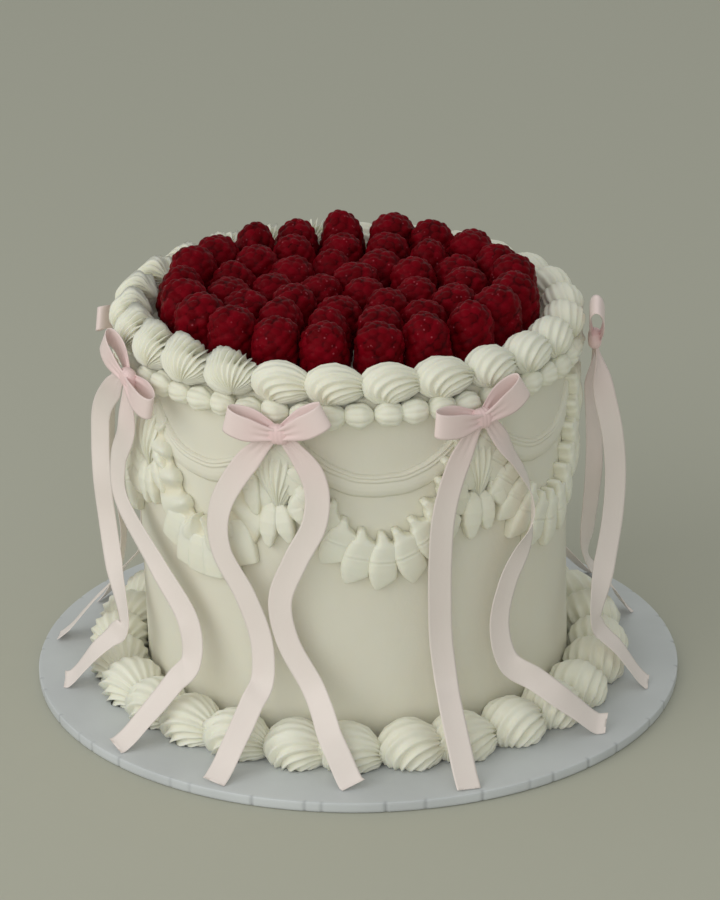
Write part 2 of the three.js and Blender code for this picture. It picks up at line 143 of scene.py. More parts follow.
def ball_faces(rows: int, ring: int) -> tuple[np.ndarray, np.ndarray]:
    """Faces of a surface of `rows` closed rings between two end points.

    Args:
        rows: rings between the first and the last point.
        ring: points on a ring.

    Returns:
        The four-sided and the three-sided faces.
    """
    here = np.arange(ring)
    after = (here + 1) % ring
    start = np.arange(rows - 1)[:, None] * ring + 1
    corners = [start + here, start + after, start + ring + after, start + ring + here]
    quads = np.stack(corners, axis=-1).reshape(-1, 4)
    last = 1 + rows * ring
    first_fan = np.stack([np.zeros(ring, int), after + 1, here + 1], axis=-1)
    last_fan = np.stack([np.full(ring, last), last - ring + here, last - ring + after], axis=-1)
    return quads, np.concatenate([first_fan, last_fan])


def closed(grid: np.ndarray, first: np.ndarray, last: np.ndarray, **values: np.ndarray) -> Surface:
    """A closed surface through rings of points and two end points.

    Args:
        grid: rings of points, as an array of rows, ring and coordinates.
        first: the end point before the first ring.
        last: the end point after the last ring.
        values: for each name, one value for each point of the grid.

    Returns:
        The surface, whose end points take the mean value of their ring.
    """
    rows, ring = grid.shape[:2]
    quads, tris = ball_faces(rows, ring)
    points = np.concatenate([first[None], grid.reshape(-1, 3), last[None]])
    spread = {
        name: np.concatenate([[value[0].mean()], value.ravel(), [value[-1].mean()]])
        for name, value in values.items()
    }
    return Surface(points, quads, tris, spread)


def make_piece(name: str, parts: list[Surface], material: bpy.types.Material) -> bpy.types.Object:
    """One object of closed surfaces, in metres, at the origin.

    Args:
        name: the piece's name.
        parts: the surfaces, all with the same named values.
        material: its finish.

    Returns:
        The object, riding on the only body.
    """
    points, quads, tris, offset = [], [], [], 0
    for part in parts:
        turn = 1 if part.volume() > 0 else -1
        points.append(part.points)
        quads.append(part.quads[:, ::turn] + offset)
        tris.append(part.tris[:, ::turn] + offset)
        offset += len(part.points)
    quad, tri = np.concatenate(quads), np.concatenate(tris)
    mesh = bpy.data.meshes.new(name)
    mesh.vertices.add(offset)
    mesh.vertices.foreach_set("co", (np.concatenate(points) * MM).astype(np.float32).ravel())
    corners = np.concatenate([quad.ravel(), tri.ravel()]).astype(np.int32)
    mesh.loops.add(len(corners))
    mesh.loops.foreach_set("vertex_index", corners)
    starts = np.concatenate([np.arange(len(quad)) * 4, 4 * len(quad) + np.arange(len(tri)) * 3])
    mesh.polygons.add(len(starts))
    mesh.polygons.foreach_set("loop_start", starts.astype(np.int32))
    mesh.update(calc_edges=True)
    mesh.polygons.foreach_set("use_smooth", np.ones(len(starts), bool))
    for key in parts[0].values:
        attribute = mesh.attributes.new(key, "FLOAT", "POINT")
        data = np.concatenate([part.values[key] for part in parts])
        attribute.data.foreach_set("value", data.astype(np.float32))
    mesh.materials.append(material)
    obj = bpy.data.objects.new(name, mesh)
    bpy.context.scene.collection.objects.link(obj)
    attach(obj, "root")
    LOG.info("%s: %d triangles", name, 2 * len(quad) + len(tri))
    return obj


# ---- Finishes ----


class Nodes:
    """Adds nodes to one node tree and links them."""

    def __init__(self, tree: bpy.types.NodeTree) -> None:
        """Starts on an empty tree."""
        self.tree = tree
        tree.nodes.clear()

    def add(self, kind: str, inputs: dict | None = None, **settings: object) -> bpy.types.Node:
        """One node.

        Args:
            kind: the node's type.
            inputs: for each input's name or number, a value or the output that feeds it.
            settings: the node's own settings.

        Returns:
            The node.
        """
        node = self.tree.nodes.new(kind)
        for key, setting in settings.items():
            setattr(node, key, setting)
        for key, value in (inputs or {}).items():
            if isinstance(value, bpy.types.NodeSocket):
                self.tree.links.new(value, node.inputs[key])
            else:
                node.inputs[key].default_value = value
        return node

    def mix(self, share: Feed, first: Feed, second: Feed) -> bpy.types.NodeSocket:
        """The mixture of two colours by a share, each a value or an output."""
        inputs = {0: share, 6: first, 7: second}
        return self.add("ShaderNodeMix", inputs, data_type="RGBA").outputs[2]

    def math(self, operation: str, first: Feed, second: Feed = 0.0) -> bpy.types.NodeSocket:
        """One sum on values or outputs."""
        node = self.add("ShaderNodeMath", {0: first, 1: second}, operation=operation)
        return node.outputs[0]

    def ramp(self, value: bpy.types.NodeSocket, low: float, high: float) -> bpy.types.NodeSocket:
        """A value taken from `low`..`high` to 0..1, kept inside."""
        node = self.add(
            "ShaderNodeMapRange",
            {"Value": value, "From Min": low, "From Max": high},
            interpolation_type="SMOOTHSTEP",
        )
        return node.outputs[0]

    def place(self) -> bpy.types.NodeSocket:
        """Object coordinates in metres."""
        return self.add("ShaderNodeTexCoord").outputs["Object"]

    def noise(
        self, scale: float, detail: float = 3.0, stretch: Triple | None = None
    ) -> bpy.types.NodeSocket:
        """Noise on Object coordinates.

        Args:
            scale: how many features it has to a metre.
            detail: how many finer layers it has.
            stretch: factors on the coordinates before it is read.

        Returns:
            The noise, from 0 to 1.
        """
        place = self.place()
        if stretch is not None:
            place = self.add("ShaderNodeMapping", {"Vector": place, "Scale": stretch}).outputs[0]
        node = self.add("ShaderNodeTexNoise", {"Vector": place, "Scale": scale, "Detail": detail})
        return node.outputs["Fac"]

    def value(self, name: str) -> bpy.types.NodeSocket:
        """A named point value."""
        return self.add("ShaderNodeAttribute", attribute_name=name).outputs["Fac"]


def rgba(colour: Triple) -> tuple[float, float, float, float]:
    """The colour with full cover."""
    return (*colour, 1.0)


def effect(name: str, inputs: dict, outputs: dict[str, str]) -> tuple[Nodes, bpy.types.Node]:
    """An empty shader node group.

    Args:
        name: the group's name.
        inputs: for each input, its socket type and starting value.
        outputs: for each output, its socket type.

    Returns:
        The group's nodes and its input node.
    """
    tree = bpy.data.node_groups.new(name, "ShaderNodeTree")
    for key, (kind, value) in inputs.items():
        socket = tree.interface.new_socket(key, in_out="INPUT", socket_type=kind)
        socket.default_value = value
    for key, kind in outputs.items():
        tree.interface.new_socket(key, in_out="OUTPUT", socket_type=kind)
    nodes = Nodes(tree)
    return nodes, nodes.add("NodeGroupInput")


COLOUR = "NodeSocketColor"
FLOAT = "NodeSocketFloat"


def cream_effect() -> bpy.types.NodeTree:
    """Whipped cream: its mottled tint, a painted warm shade in its valleys and creases, and its fine
    surface.

    Returns:
        The effect's node tree.
    """
    outputs = {"Colour": COLOUR, "Height": FLOAT}
    inputs = {
        "Cream": (COLOUR, rgba((0.8, 0.8, 0.7))),
        "Deep": (COLOUR, rgba((0.7, 0.6, 0.4))),
        "Crest": (FLOAT, 1.0),
    }
    nodes, given = effect("cream", inputs, outputs)
    cream, deep, crest = (given.outputs[key] for key in ("Cream", "Deep", "Crest"))
    cloud = nodes.ramp(nodes.noise(22.0), 0.35, 0.7)
    # A random mottle in the cream's own tone, which borrows a little of the warm shade colour.
    warm = nodes.mix(nodes.math("MULTIPLY", cloud, 0.12), cream, deep)
    # Painted shade: where the crest value is low, in valleys, creases and hollows, the colour is
    # mixed towards the warm shade colour.
    depth = nodes.math("SUBTRACT", 1.0, nodes.ramp(crest, 0.0, 0.75))
    colour = nodes.mix(nodes.math("MULTIPLY", depth, 0.42), warm, deep)
    waves = nodes.math("MULTIPLY", nodes.noise(90.0), 0.8)
    grain = nodes.math("MULTIPLY", nodes.noise(700.0, 4.0), 0.16)
    height = nodes.math("ADD", waves, grain)
    nodes.add("NodeGroupOutput", {"Colour": colour, "Height": height})
    return nodes.tree


def weave_effect() -> bpy.types.NodeTree:
    """Satin: pinker where it is gathered, with streaks along the ribbon and a fine weave.

    Returns:
        The effect's node tree.
    """
    inputs = {
        "Pale": (COLOUR, rgba((0.8, 0.7, 0.66))),
        "Pink": (COLOUR, rgba((0.8, 0.5, 0.5))),
        "Share": (FLOAT, 0.5),
        "Across": (FLOAT, 0.0),
    }
    nodes, given = effect("weave", inputs, {"Colour": COLOUR, "Height": FLOAT})
    streak = nodes.noise(260.0, 2.0, (1.0, 1.0, 0.12))
    share = nodes.math("ADD", given.outputs["Share"], nodes.math("MULTIPLY", streak, 0.12))
    colour = nodes.mix(share, given.outputs["Pale"], given.outputs["Pink"])
    threads = nodes.math("SINE", nodes.math("MULTIPLY", given.outputs["Across"], 150.0))
    height = nodes.math("ADD", nodes.math("MULTIPLY", threads, 0.12), streak)
    nodes.add("NodeGroupOutput", {"Colour": colour, "Height": height})
    return nodes.tree


def skin_effect() -> bpy.types.NodeTree:
    """Raspberry skin: painted shade between the drupelets; on them a mottled tint, pale flecks that
    are partly fine hairs and partly painted highlights, and a fine pitting.

    Returns:
        The effect's node tree.
    """
    inputs = {
        "Ripe": (COLOUR, rgba((0.25, 0.006, 0.014))),
        "Deep": (COLOUR, rgba((0.06, 0.001, 0.004))),
        "Dome": (FLOAT, 1.0),
        "Tint": (FLOAT, 0.5),
    }
    nodes, given = effect("skin", inputs, {"Colour": COLOUR, "Height": FLOAT, "Wet": FLOAT})
    # Painted shade: the seams between drupelets, where the dome value is low, take the dark shade
    # colour.
    dome = nodes.ramp(given.outputs["Dome"], 0.0, 0.4)
    colour = nodes.mix(dome, given.outputs["Deep"], given.outputs["Ripe"])
    blush = nodes.math("MULTIPLY", given.outputs["Tint"], 0.7)
    colour = nodes.mix(blush, colour, rgba((0.21, 0.001, 0.008)))
    # Pale flecks in small clusters: partly the berry's fine hairs and partly painted highlights on
    # the drupelets.
    cell = nodes.add("ShaderNodeTexVoronoi", {"Vector": nodes.place(), "Scale": 430.0})
    hair_and_highlight = nodes.math("SUBTRACT", 1.0, nodes.ramp(cell.outputs["Distance"], 0.06, 0.26))
    hair_and_highlight = nodes.math("MULTIPLY", hair_and_highlight, nodes.ramp(nodes.noise(150.0, 2.0), 0.5, 0.66))
    colour = nodes.mix(nodes.math("MULTIPLY", hair_and_highlight, 0.4), colour, rgba((0.6, 0.16, 0.2)))
    height = nodes.math("MULTIPLY", nodes.noise(1100.0, 3.0), 0.5)
    wet = nodes.ramp(nodes.noise(420.0, 2.0), 0.35, 0.7)
    nodes.add("NodeGroupOutput", {"Colour": colour, "Height": height, "Wet": wet})
    return nodes.tree


def start_material(name: str) -> tuple[Nodes, bpy.types.Node]:
    """A new material.

    Args:
        name: its name.

    Returns:
        Its nodes and its shader.
    """
    material = bpy.data.materials.new(name)
    material.use_nodes = True
    nodes = Nodes(material.node_tree)
    return nodes, nodes.add("ShaderNodeBsdfPrincipled")


def start_effect(
    name: str, tree: bpy.types.NodeTree, colours: dict[str, Triple], values: dict[str, str]
) -> tuple[Nodes, bpy.types.Node, bpy.types.Node]:
    """A new material whose Base Color comes from an effect.

    Args:
        name: the material's name.
        tree: the effect's node tree.
        colours: for each colour input of the effect, its value.
        values: for each other input, the named point value that feeds it.

    Returns:
        The material's nodes, its shader and the effect's node.
    """
    nodes, shader = start_material(name)
    group = nodes.add("ShaderNodeGroup", node_tree=tree)
    for key, colour in colours.items():
        group.inputs[key].default_value = rgba(colour)
    for key, value in values.items():
        nodes.tree.links.new(nodes.value(value), group.inputs[key])
    nodes.tree.links.new(group.outputs["Colour"], shader.inputs["Base Color"])
    return nodes, shader, group


def finish_material(
    nodes: Nodes, shader: bpy.types.Node, settings: dict[str, float | tuple]
) -> bpy.types.Material:
    """The material of a tree, once its shader has its settings and feeds the output.

    Args:
        nodes: the material's nodes.
        shader: its shader.
        settings: for each of the shader's inputs, its value.

    Returns:
        The material.
    """
    for key, value in settings.items():
        shader.inputs[key].default_value = value
    nodes.add("ShaderNodeOutputMaterial", {"Surface": shader.outputs[0]})
    return next(one for one in bpy.data.materials if one.node_tree == nodes.tree)


def add_bump(
    nodes: Nodes, shader: bpy.types.Node, height: bpy.types.NodeSocket, deep: float
) -> None:
    """Puts a height, `deep` mm at 1, on the shader's normal."""
    bump = nodes.add("ShaderNodeBump", {"Strength": 1.0, "Distance": deep * MM, "Height": height})
    nodes.tree.links.new(bump.outputs[0], shader.inputs["Normal"])


@dataclass(frozen=True)
class CreamFinish:
    """The finish of icing and piped cream."""

    name: str
    cream: Triple
    # The colour of the painted warm shade in valleys and creases, also the tint of the random
    # mottle.
    deep: Triple
    bump_mm: float = 0.3

    def build(self, tree: bpy.types.NodeTree) -> bpy.types.Material:
        """Dresses the cream effect.

        Args:
            tree: the cream effect's node tree.

        Returns:
            The material.
        """
        colours = {"Cream": self.cream, "Deep": self.deep}
        nodes, shader, group = start_effect(self.name, tree, colours, {"Crest": "crest"})
        add_bump(nodes, shader, group.outputs["Height"], self.bump_mm)
        settings = {
            "Roughness": 0.55,
            "Subsurface Weight": 0.15,
            "Subsurface Radius": (1.0, 0.8, 0.5),
            "Subsurface Scale": 1.5 * MM,
            "Specular IOR Level": 0.22,
        }
        return finish_material(nodes, shader, settings)


@dataclass(frozen=True)
class SatinFinish:
    """The finish of the satin ribbon."""

    name: str
    pale: Triple
    pink: Triple
    bump_mm: float = 0.05

    def build(self, tree: bpy.types.NodeTree) -> bpy.types.Material:
        """Dresses the weave effect.

        Args:
            tree: the weave effect's node tree.

        Returns:
            The material.
        """
        colours = {"Pale": self.pale, "Pink": self.pink}
        values = {"Share": "pink", "Across": "across"}
        nodes, shader, group = start_effect(self.name, tree, colours, values)
        add_bump(nodes, shader, group.outputs["Height"], self.bump_mm)
        settings = {
            "Roughness": 0.42,
            "Sheen Weight": 0.25,
            "Sheen Roughness": 0.4,
            "Specular IOR Level": 0.4,
        }
        return finish_material(nodes, shader, settings)


@dataclass(frozen=True)
class BerryFinish:
    """The finish of a raspberry, a little smoother where it is wet."""

    name: str
    ripe: Triple
    # The colour of the painted shade in the seams between drupelets.
    deep: Triple
    dry: float = 0.5
    wetness: float = 0.2
    bump_mm: float = 0.15

    def build(self, tree: bpy.types.NodeTree) -> bpy.types.Material:
        """Dresses the skin effect.

        Args:
            tree: the skin effect's node tree.

        Returns:
            The material.
        """
        colours = {"Ripe": self.ripe, "Deep": self.deep}
        values = {"Dome": "dome", "Tint": "tint"}
        nodes, shader, group = start_effect(self.name, tree, colours, values)
        wet = nodes.math("MULTIPLY", group.outputs["Wet"], self.wetness)
        rough = nodes.math("SUBTRACT", self.dry, wet)
        nodes.tree.links.new(rough, shader.inputs["Roughness"])
        add_bump(nodes, shader, group.outputs["Height"], self.bump_mm)
        settings = {
            "Sheen Weight": 0.01,
            "Sheen Roughness": 0.5,
            "Sheen Tint": rgba((0.9, 0.45, 0.5)),
            "Specular IOR Level": 0.035,
        }
        return finish_material(nodes, shader, settings)


@dataclass(frozen=True)
class BoardFinish:
    """The finish of the covered board: pale satin, darker in the seams at its rim."""

    name: str
    colour: Triple
    shade: Triple
    seam: Triple = (0.22, 0.23, 0.25)
    seam_share: float = 0.5
    bump_mm: float = 0.35

    def build(self) -> bpy.types.Material:
        """Mixes two greys by a cloud and darkens the seams.

        Returns:
            The material.
        """
        nodes, shader = start_material(self.name)
        cloud = nodes.ramp(nodes.noise(14.0), 0.3, 0.7)
        colour = nodes.mix(cloud, rgba(self.colour), rgba(self.shade))
        seam = nodes.math("MULTIPLY", nodes.value("seam"), self.seam_share)
        colour = nodes.mix(seam, colour, rgba(self.seam))
        nodes.tree.links.new(colour, shader.inputs["Base Color"])
        add_bump(nodes, shader, nodes.noise(60.0, 5.0), self.bump_mm)
        return finish_material(nodes, shader, {"Roughness": 0.42})


# ---- Board and iced wall ----


@dataclass
class Board:
    """The thin covered board: a profile turned round the upright, with seams in its rim.

    Each seam is a bell across the azimuth that pulls the rim in, `pleat_wide` degrees wide
    and `pleat_deep` mm deep, and the cover's slack adds a slow wave.
    """

    sides: int = 1440
    edge: float = 0.6
    pleats: int = 46
    pleat_wide: float = 0.3
    pleat_deep: float = 0.5
    pleat_shift: float = 0.35
    slack: float = 0.12
    seam_from: float = 150.6

    def build(self, finish: bpy.types.Material) -> None:
        """Builds the disc with its rounded edge.

        Args:
            finish: its material.
        """
        low = [(40.0, 0.0), (100.0, 0.0), (BOARD_RADIUS - 1, 0.0)]
        rim = [(BOARD_RADIUS - 0.15, 0.5), (BOARD_RADIUS, 1.5), (BOARD_RADIUS, 3.6)]
        corner = [
            (
                BOARD_RADIUS - self.edge * (1 - math.cos(turn)),
                BOARD_THICK - self.edge * (1 - math.sin(turn)),
            )
            for turn in np.linspace(0.3, math.pi / 2, 5)
        ]
        top = [(radius, BOARD_THICK) for radius in (150.0, 148.0, 140.0, 120.0, 60.0)]
        profile = np.array(low + rim + corner + top)
        angle = np.linspace(0, 2 * math.pi, self.sides, endpoint=False)
        draw = np.random.default_rng(41)
        shift = draw.uniform(-self.pleat_shift, self.pleat_shift, self.pleats)
        places = (np.arange(self.pleats) + shift) * 360 / self.pleats
        apart = (np.degrees(angle)[:, None] - places + 180) % 360 - 180
        bells = np.exp(-((apart / self.pleat_wide) ** 2))
        crease = (bells * draw.uniform(0.4, 1.0, self.pleats)).sum(1)
        wave = 0.5 + 0.5 * np.sin(angle * 9 + 2 * np.sin(angle * 4))
        near = smooth(self.seam_from, BOARD_RADIUS - 0.3, profile[:, :1])
        inset = near * (self.pleat_deep * crease + self.slack * wave)
        radius = profile[:, :1] - inset
        height = profile[:, 1:] - smooth(4.0, BOARD_THICK, profile[:, 1:]) * 0.5 * inset
        grid = np.stack([radius * np.cos(angle), radius * np.sin(angle), height], axis=-1)
        ends = np.array([0.0, 0.0, 0.0]), np.array([0.0, 0.0, BOARD_THICK])
        seam = near * np.minimum(crease, 1) * np.ones_like(grid[..., 0])
        board = make_piece("board_disc", [closed(grid, *ends, seam=seam)], finish)
        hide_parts("board")


@dataclass
class IcedWall:
    """The cake's smooth icing, with the spatula's faint waves.

    The radius is pulled in by a ripple that is stretched up the wall and cut off at `crown`.
    """

    sides: int = 420
    rows: int = 96
    rim: float = 2.5
    wave: float = 0.22
    wave_length: float = 46.0
    crown: float = 1.2
    stretch: Triple = (1.0, 1.0, 0.25)
    top: tuple[float, ...] = (90.0, 70.0, 45.0, 20.0)

    def build(self, finish: bpy.types.Material) -> None:
        """Builds the wall and the top.

        Args:
            finish: its material.
        """
        heights = np.linspace(BOARD_FACE, CAKE_TOP - self.rim, self.rows)
        radii = np.full(self.rows, CAKE_RADIUS)
        turn = np.linspace(0, math.pi / 2, 6)[1:]
        radii = np.append(radii, CAKE_RADIUS - self.rim * (1 - np.cos(turn)))
        heights = np.append(heights, CAKE_TOP - self.rim * (1 - np.sin(turn)))
        radii = np.append(radii, self.top)
        heights = np.append(heights, [CAKE_TOP] * len(self.top))
        azimuth = np.linspace(0, 360, self.sides, endpoint=False)
        grid = polar(azimuth[None], radii[:, None], heights[:, None])
        stretched = grid * np.array(self.stretch)
        waves = np.minimum(ripple(stretched, self.wave_length, 4), self.crown) - self.crown
        grid = polar(azimuth[None], radii[:, None] + self.wave * waves, heights[:, None])
        ends = polar(0, 0, BOARD_FACE), polar(0, 0, CAKE_TOP)
        crest = np.ones(grid.shape[:2])
        wall = make_piece("iced_wall", [closed(grid, *ends, crest=crest)], finish)
        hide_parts("cake")


# ---- Piped shells and pearls ----


@dataclass(frozen=True)
class Stroke:
    """How a nozzle's ridges run over one piped shell.

    They follow the circles through two points of a ball, the tail and the foot, which are
    given as directions: towards growing azimuth, outwards and up. `calm` is the share of
    the ridges' depth that is left on the side away from both, `hood` where on that side
    they fade, `teeth` how far their crests stick out around the share `tooth_at` of the way
    to the foot, and `mesh` how many rings a shell has and how many points a ring. A ridge
    climbs over the share `climb` of its breadth and falls over the rest.
    """

    tail: Triple
    foot: Triple
    flutes: int
    depth: float
    calm: float
    hood: tuple[float, float] = (-0.98, -0.45)
    teeth: float = 0.0
    mesh: tuple[int, int] = (18, 190)
    climb: float = 0.62
    sharp: float = 1.1
    tooth_at: tuple[float, float] = (0.63, 0.1)
    tooth_from: float = 0.45

    def ball(self, phase: float) -> tuple[np.ndarray, ...]:
        """The unit ball with its ridges.

        The circle at each turn lies in the plane through both points; a share of the way along
        it gives the place, and the wave across the circles pulls it in by up to `depth`.

        Args:
            phase: a turn of the ridges, in flutes.

        Returns:
            The rings, the tail, the foot, and how near each point is to a ridge's crest, which sets
            how little painted shade it gets.
        """
        rows, ring = self.mesh
        tail, foot = unit(np.array(self.tail)), unit(np.array(self.foot))
        middle, half = np.linalg.norm(tail + foot) / 2, np.linalg.norm(tail - foot) / 2
        near, along = unit(tail + foot), unit(tail - foot)
        side = np.cross(near, along)
        turn = np.linspace(-math.pi, math.pi, ring, endpoint=False)[None, :, None]
        share = (np.arange(1, rows + 1) / (rows + 1))[:, None, None]
        bow = np.cos(turn) * near + np.sin(turn) * side
        normal = np.sin(turn) * near - np.cos(turn) * side
        radius = np.sqrt(1 - (middle * np.sin(turn)) ** 2)
        reach = np.arctan2(half, middle * np.cos(turn))
        angle = reach * (1 - 2 * share)
        circle = radius * (np.cos(angle) * bow + np.sin(angle) * along)
        points = middle * np.sin(turn) * normal + circle
        cycle = (self.flutes * (turn + math.pi) / (2 * math.pi) + phase) % 1.0
        falling = (1 - cycle) / (1 - self.climb)
        wave = np.where(cycle < self.climb, cycle / self.climb, falling) ** self.sharp
        strength = self.calm + (1 - self.calm) * smooth(*self.hood, np.cos(turn))
        fade = np.clip(np.sin(math.pi * share) * 2.2, 0, 1)
        crest = 1 - (1 - wave) * strength * fade
        middle_share, breadth = self.tooth_at
        near_teeth = np.exp(-(((share - middle_share) / breadth) ** 2))
        tooth = self.teeth * (wave**2 - self.tooth_from) * near_teeth
        points = points * (1 - self.depth * (1 - crest) + tooth)
        # The crest value sets the painted shade: the valleys between the ridges get the most.
        shown = 0.3 + 0.7 * crest
        return points, tail, foot, np.broadcast_to(shown, points.shape[:2] + (1,))[..., 0]


class ShellStyle(Enum):
    """The nozzle strokes seen on the cake."""

    COMMA = Stroke((0.93, 0.2, -0.3), (-0.1, 0.45, -0.88), 26, 0.2, 0.4)
    FAN = Stroke((0.3, 0.72, -0.62), (0.2, -0.93, 0.1), 40, 0.19, 0.9, (-0.9, 0.1), 0.8, (24, 330))
    LOW = Stroke((0.97, 0.15, -0.15), (-0.15, 0.3, -0.94), 27, 0.17, 0.3, teeth=0.15)
    DROP = Stroke((0.1, -0.9, 0.42), (-0.12, 0.3, -0.95), 26, 0.23, 1.0, mesh=(40, 144))


# A shell's tail: how much longer it is drawn, how much of its height and depth it loses,
# how far it sinks in mm, and the shell's own unevenness and the length of its lumps in mm.
TAIL_LONGER = 1.22
TAIL_LOWER = 0.3
TAIL_THINNER = 0.28
TAIL_SINK = 1.6
SHELL_LUMP = 0.022
SHELL_LUMP_LENGTH = 7.0
SHELL_TILT = 5


def settle(unit_points: np.ndarray, azimuth: float, radius: float, height: float) -> np.ndarray:
    """Points given in mm towards growing azimuth, outwards and up, set on the cake.

    Args:
        unit_points: the points.
        azimuth: where their origin goes, in degrees.
        radius: its distance from the axis in mm.
        height: its height in mm.

    Returns:
        The points on the cake.
    """
    x, y, z = unit_points[..., 0], unit_points[..., 1], unit_points[..., 2]
    return polar(azimuth + np.degrees(x / radius), radius + y, height + z)


def shell(style: Stroke, half: Triple, draw: np.random.Generator, at: Triple) -> Surface:
    """One piped shell, with its tail stretched, narrowed and sunk by its distance squared.

    Args:
        style: how its ridges run.
        half: half of its length, depth and height in mm.
        draw: where its own unevenness comes from.
        at: its azimuth, radius and height.

    Returns:
        The shell.
    """
    rings, tail, foot, crest = style.ball(draw.uniform(-0.5, 0.5))
    size = np.array(half) * draw.uniform([0.96, 0.97, 0.95], [1.04, 1.0, 1.0])
    tilt = math.radians(draw.uniform(-SHELL_TILT, SHELL_TILT))
    flat = [rings, tail[None, None], foot[None, None]]
    placed = []
    for points in flat:
        x, y, z = (points * size).transpose(2, 0, 1)
        ahead = np.maximum(x, 0) / size[0]
        x = x * np.where(x > 0, TAIL_LONGER, 1)
        y = y * (1 - TAIL_THINNER * ahead**2)
        z = z * (1 - TAIL_LOWER * ahead**2) - TAIL_SINK * ahead**2
        turned = np.stack([x * math.cos(tilt) - z * math.sin(tilt), y, z + x * math.sin(tilt)], -1)
        lump = SHELL_LUMP * ripple(turned + 40 * at[0], SHELL_LUMP_LENGTH, 5)
        spot = settle(turned * (1 + lump - 0.02)[..., None], *at)
        spot[..., 2] = np.maximum(spot[..., 2], BOARD_FACE)
        placed.append(spot)
    rings, tail, foot = placed
    return closed(rings, tail[0, 0], foot[0, 0], crest=crest)


@dataclass
class TopBorder:
    """The shells on the rim, ragged fans between two azimuths, and the pearls under them."""

    shells: int = 26
    turn: float = 10.5
    radius: float = 99.0
    height: float = 178.6
    fans: tuple[float, float] = (-170, -22)
    comma_half: Triple = (13.4, 10.4, 9.7)
    fan_half: Triple = (12.6, 10.6, 9.8)
    pearls: int = 52
    pearl_turn: float = 2.6
    pearl_half: Triple = (6.7, 6.0, 6.0)
    pearl_radius: float = 102.6
    pearl_height: float = 166.0
    creases: int = 9
    crease_deep: float = 0.13

    def build(self, finish: bpy.types.Material) -> None:
        """Builds both rows.

        Args:
            finish: its material.
        """
        draw = np.random.default_rng(11)
        commas, fans = [], []
        for index in range(self.shells):
            azimuth = (self.turn + index * 360 / self.shells + 180) % 360 - 180
            fan = self.fans[0] < azimuth < self.fans[1]
            style = ShellStyle.FAN if fan else ShellStyle.COMMA
            half = self.fan_half if fan else self.comma_half
            at = (azimuth + draw.uniform(-0.5, 0.5), self.radius, self.height)
            (fans if fan else commas).append(shell(style.value, half, draw, at))
        border = make_piece("rim_shells", commas, finish)
        ragged = make_piece("rim_fans", fans, finish)
        row = make_piece("rim_pearls", self.pearl_row(), finish)
        for one in (border, ragged, row):
            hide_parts("top_border")

    def pearl_row(self) -> list[Surface]:
        """The pearls: lumpy balls about a level axis, pulled in at creases that run along it.

        Returns:
            The pearls.
        """
        draw = np.random.default_rng(12)
        rows, ring = 15, 66
        polar_angle = (np.arange(1, rows + 1) / (rows + 1) * math.pi)[:, None]
        around = np.linspace(0, 2 * math.pi, ring, endpoint=False)[None]
        thick = np.sin(polar_angle)
        axis = np.cos(polar_angle) * np.ones_like(around)
        ball = np.stack([axis, thick * np.cos(around), thick * np.sin(around)], axis=-1)
        parts = []
        for index in range(self.pearls):
            azimuth = self.pearl_turn + index * 360 / self.pearls + draw.uniform(-0.6, 0.6)
            crease = np.abs(np.cos(self.creases / 2 * around + draw.uniform(0, 3))) ** 0.7
            # The crest value is low in the creases: it pulls them in and paints shade into them.
            crest = 1 - (1 - crease) * thick**2 * 0.8
            size = np.array(self.pearl_half) * draw.uniform(0.94, 1.0, 3)
            lump = 1 + 0.05 * ripple(ball * 3 + index * 7.0, 5.0, 3)
            points = ball * (lump * (1 - self.crease_deep * (1 - crest)))[..., None] * size
            points = np.concatenate([points.reshape(-1, 3), [[size[0], 0, 0], [-size[0], 0, 0]]])
            height = self.pearl_height + draw.uniform(-0.5, 0.5)
            points = settle(points, azimuth, self.pearl_radius, height)
            grid = points[:-2].reshape(rows, ring, 3)
            parts.append(closed(grid, points[-2], points[-1], crest=crest))
        return parts


@dataclass
class BaseBorder:
    """The large shells around the foot."""

    shells: int = 28
    turn: float = 10.9
    radius: float = 114.2
    height: float = 11.4
    half: Triple = (14.6, 15.2, 13.4)

    def build(self, finish: bpy.types.Material) -> None:
        """Builds the row.

        Args:
            finish: its material.
        """
        draw = np.random.default_rng(21)
        parts = []
        for index in range(self.shells):
            azimuth = self.turn + index * 360 / self.shells + draw.uniform(-0.8, 0.8)
            at = (azimuth, self.radius, self.height)
            parts.append(shell(ShellStyle.LOW.value, self.half, draw, at))
        border = make_piece("foot_shells", parts, finish)
        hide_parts("base_border")


# ---- Strings, ruffles and drops on the wall ----


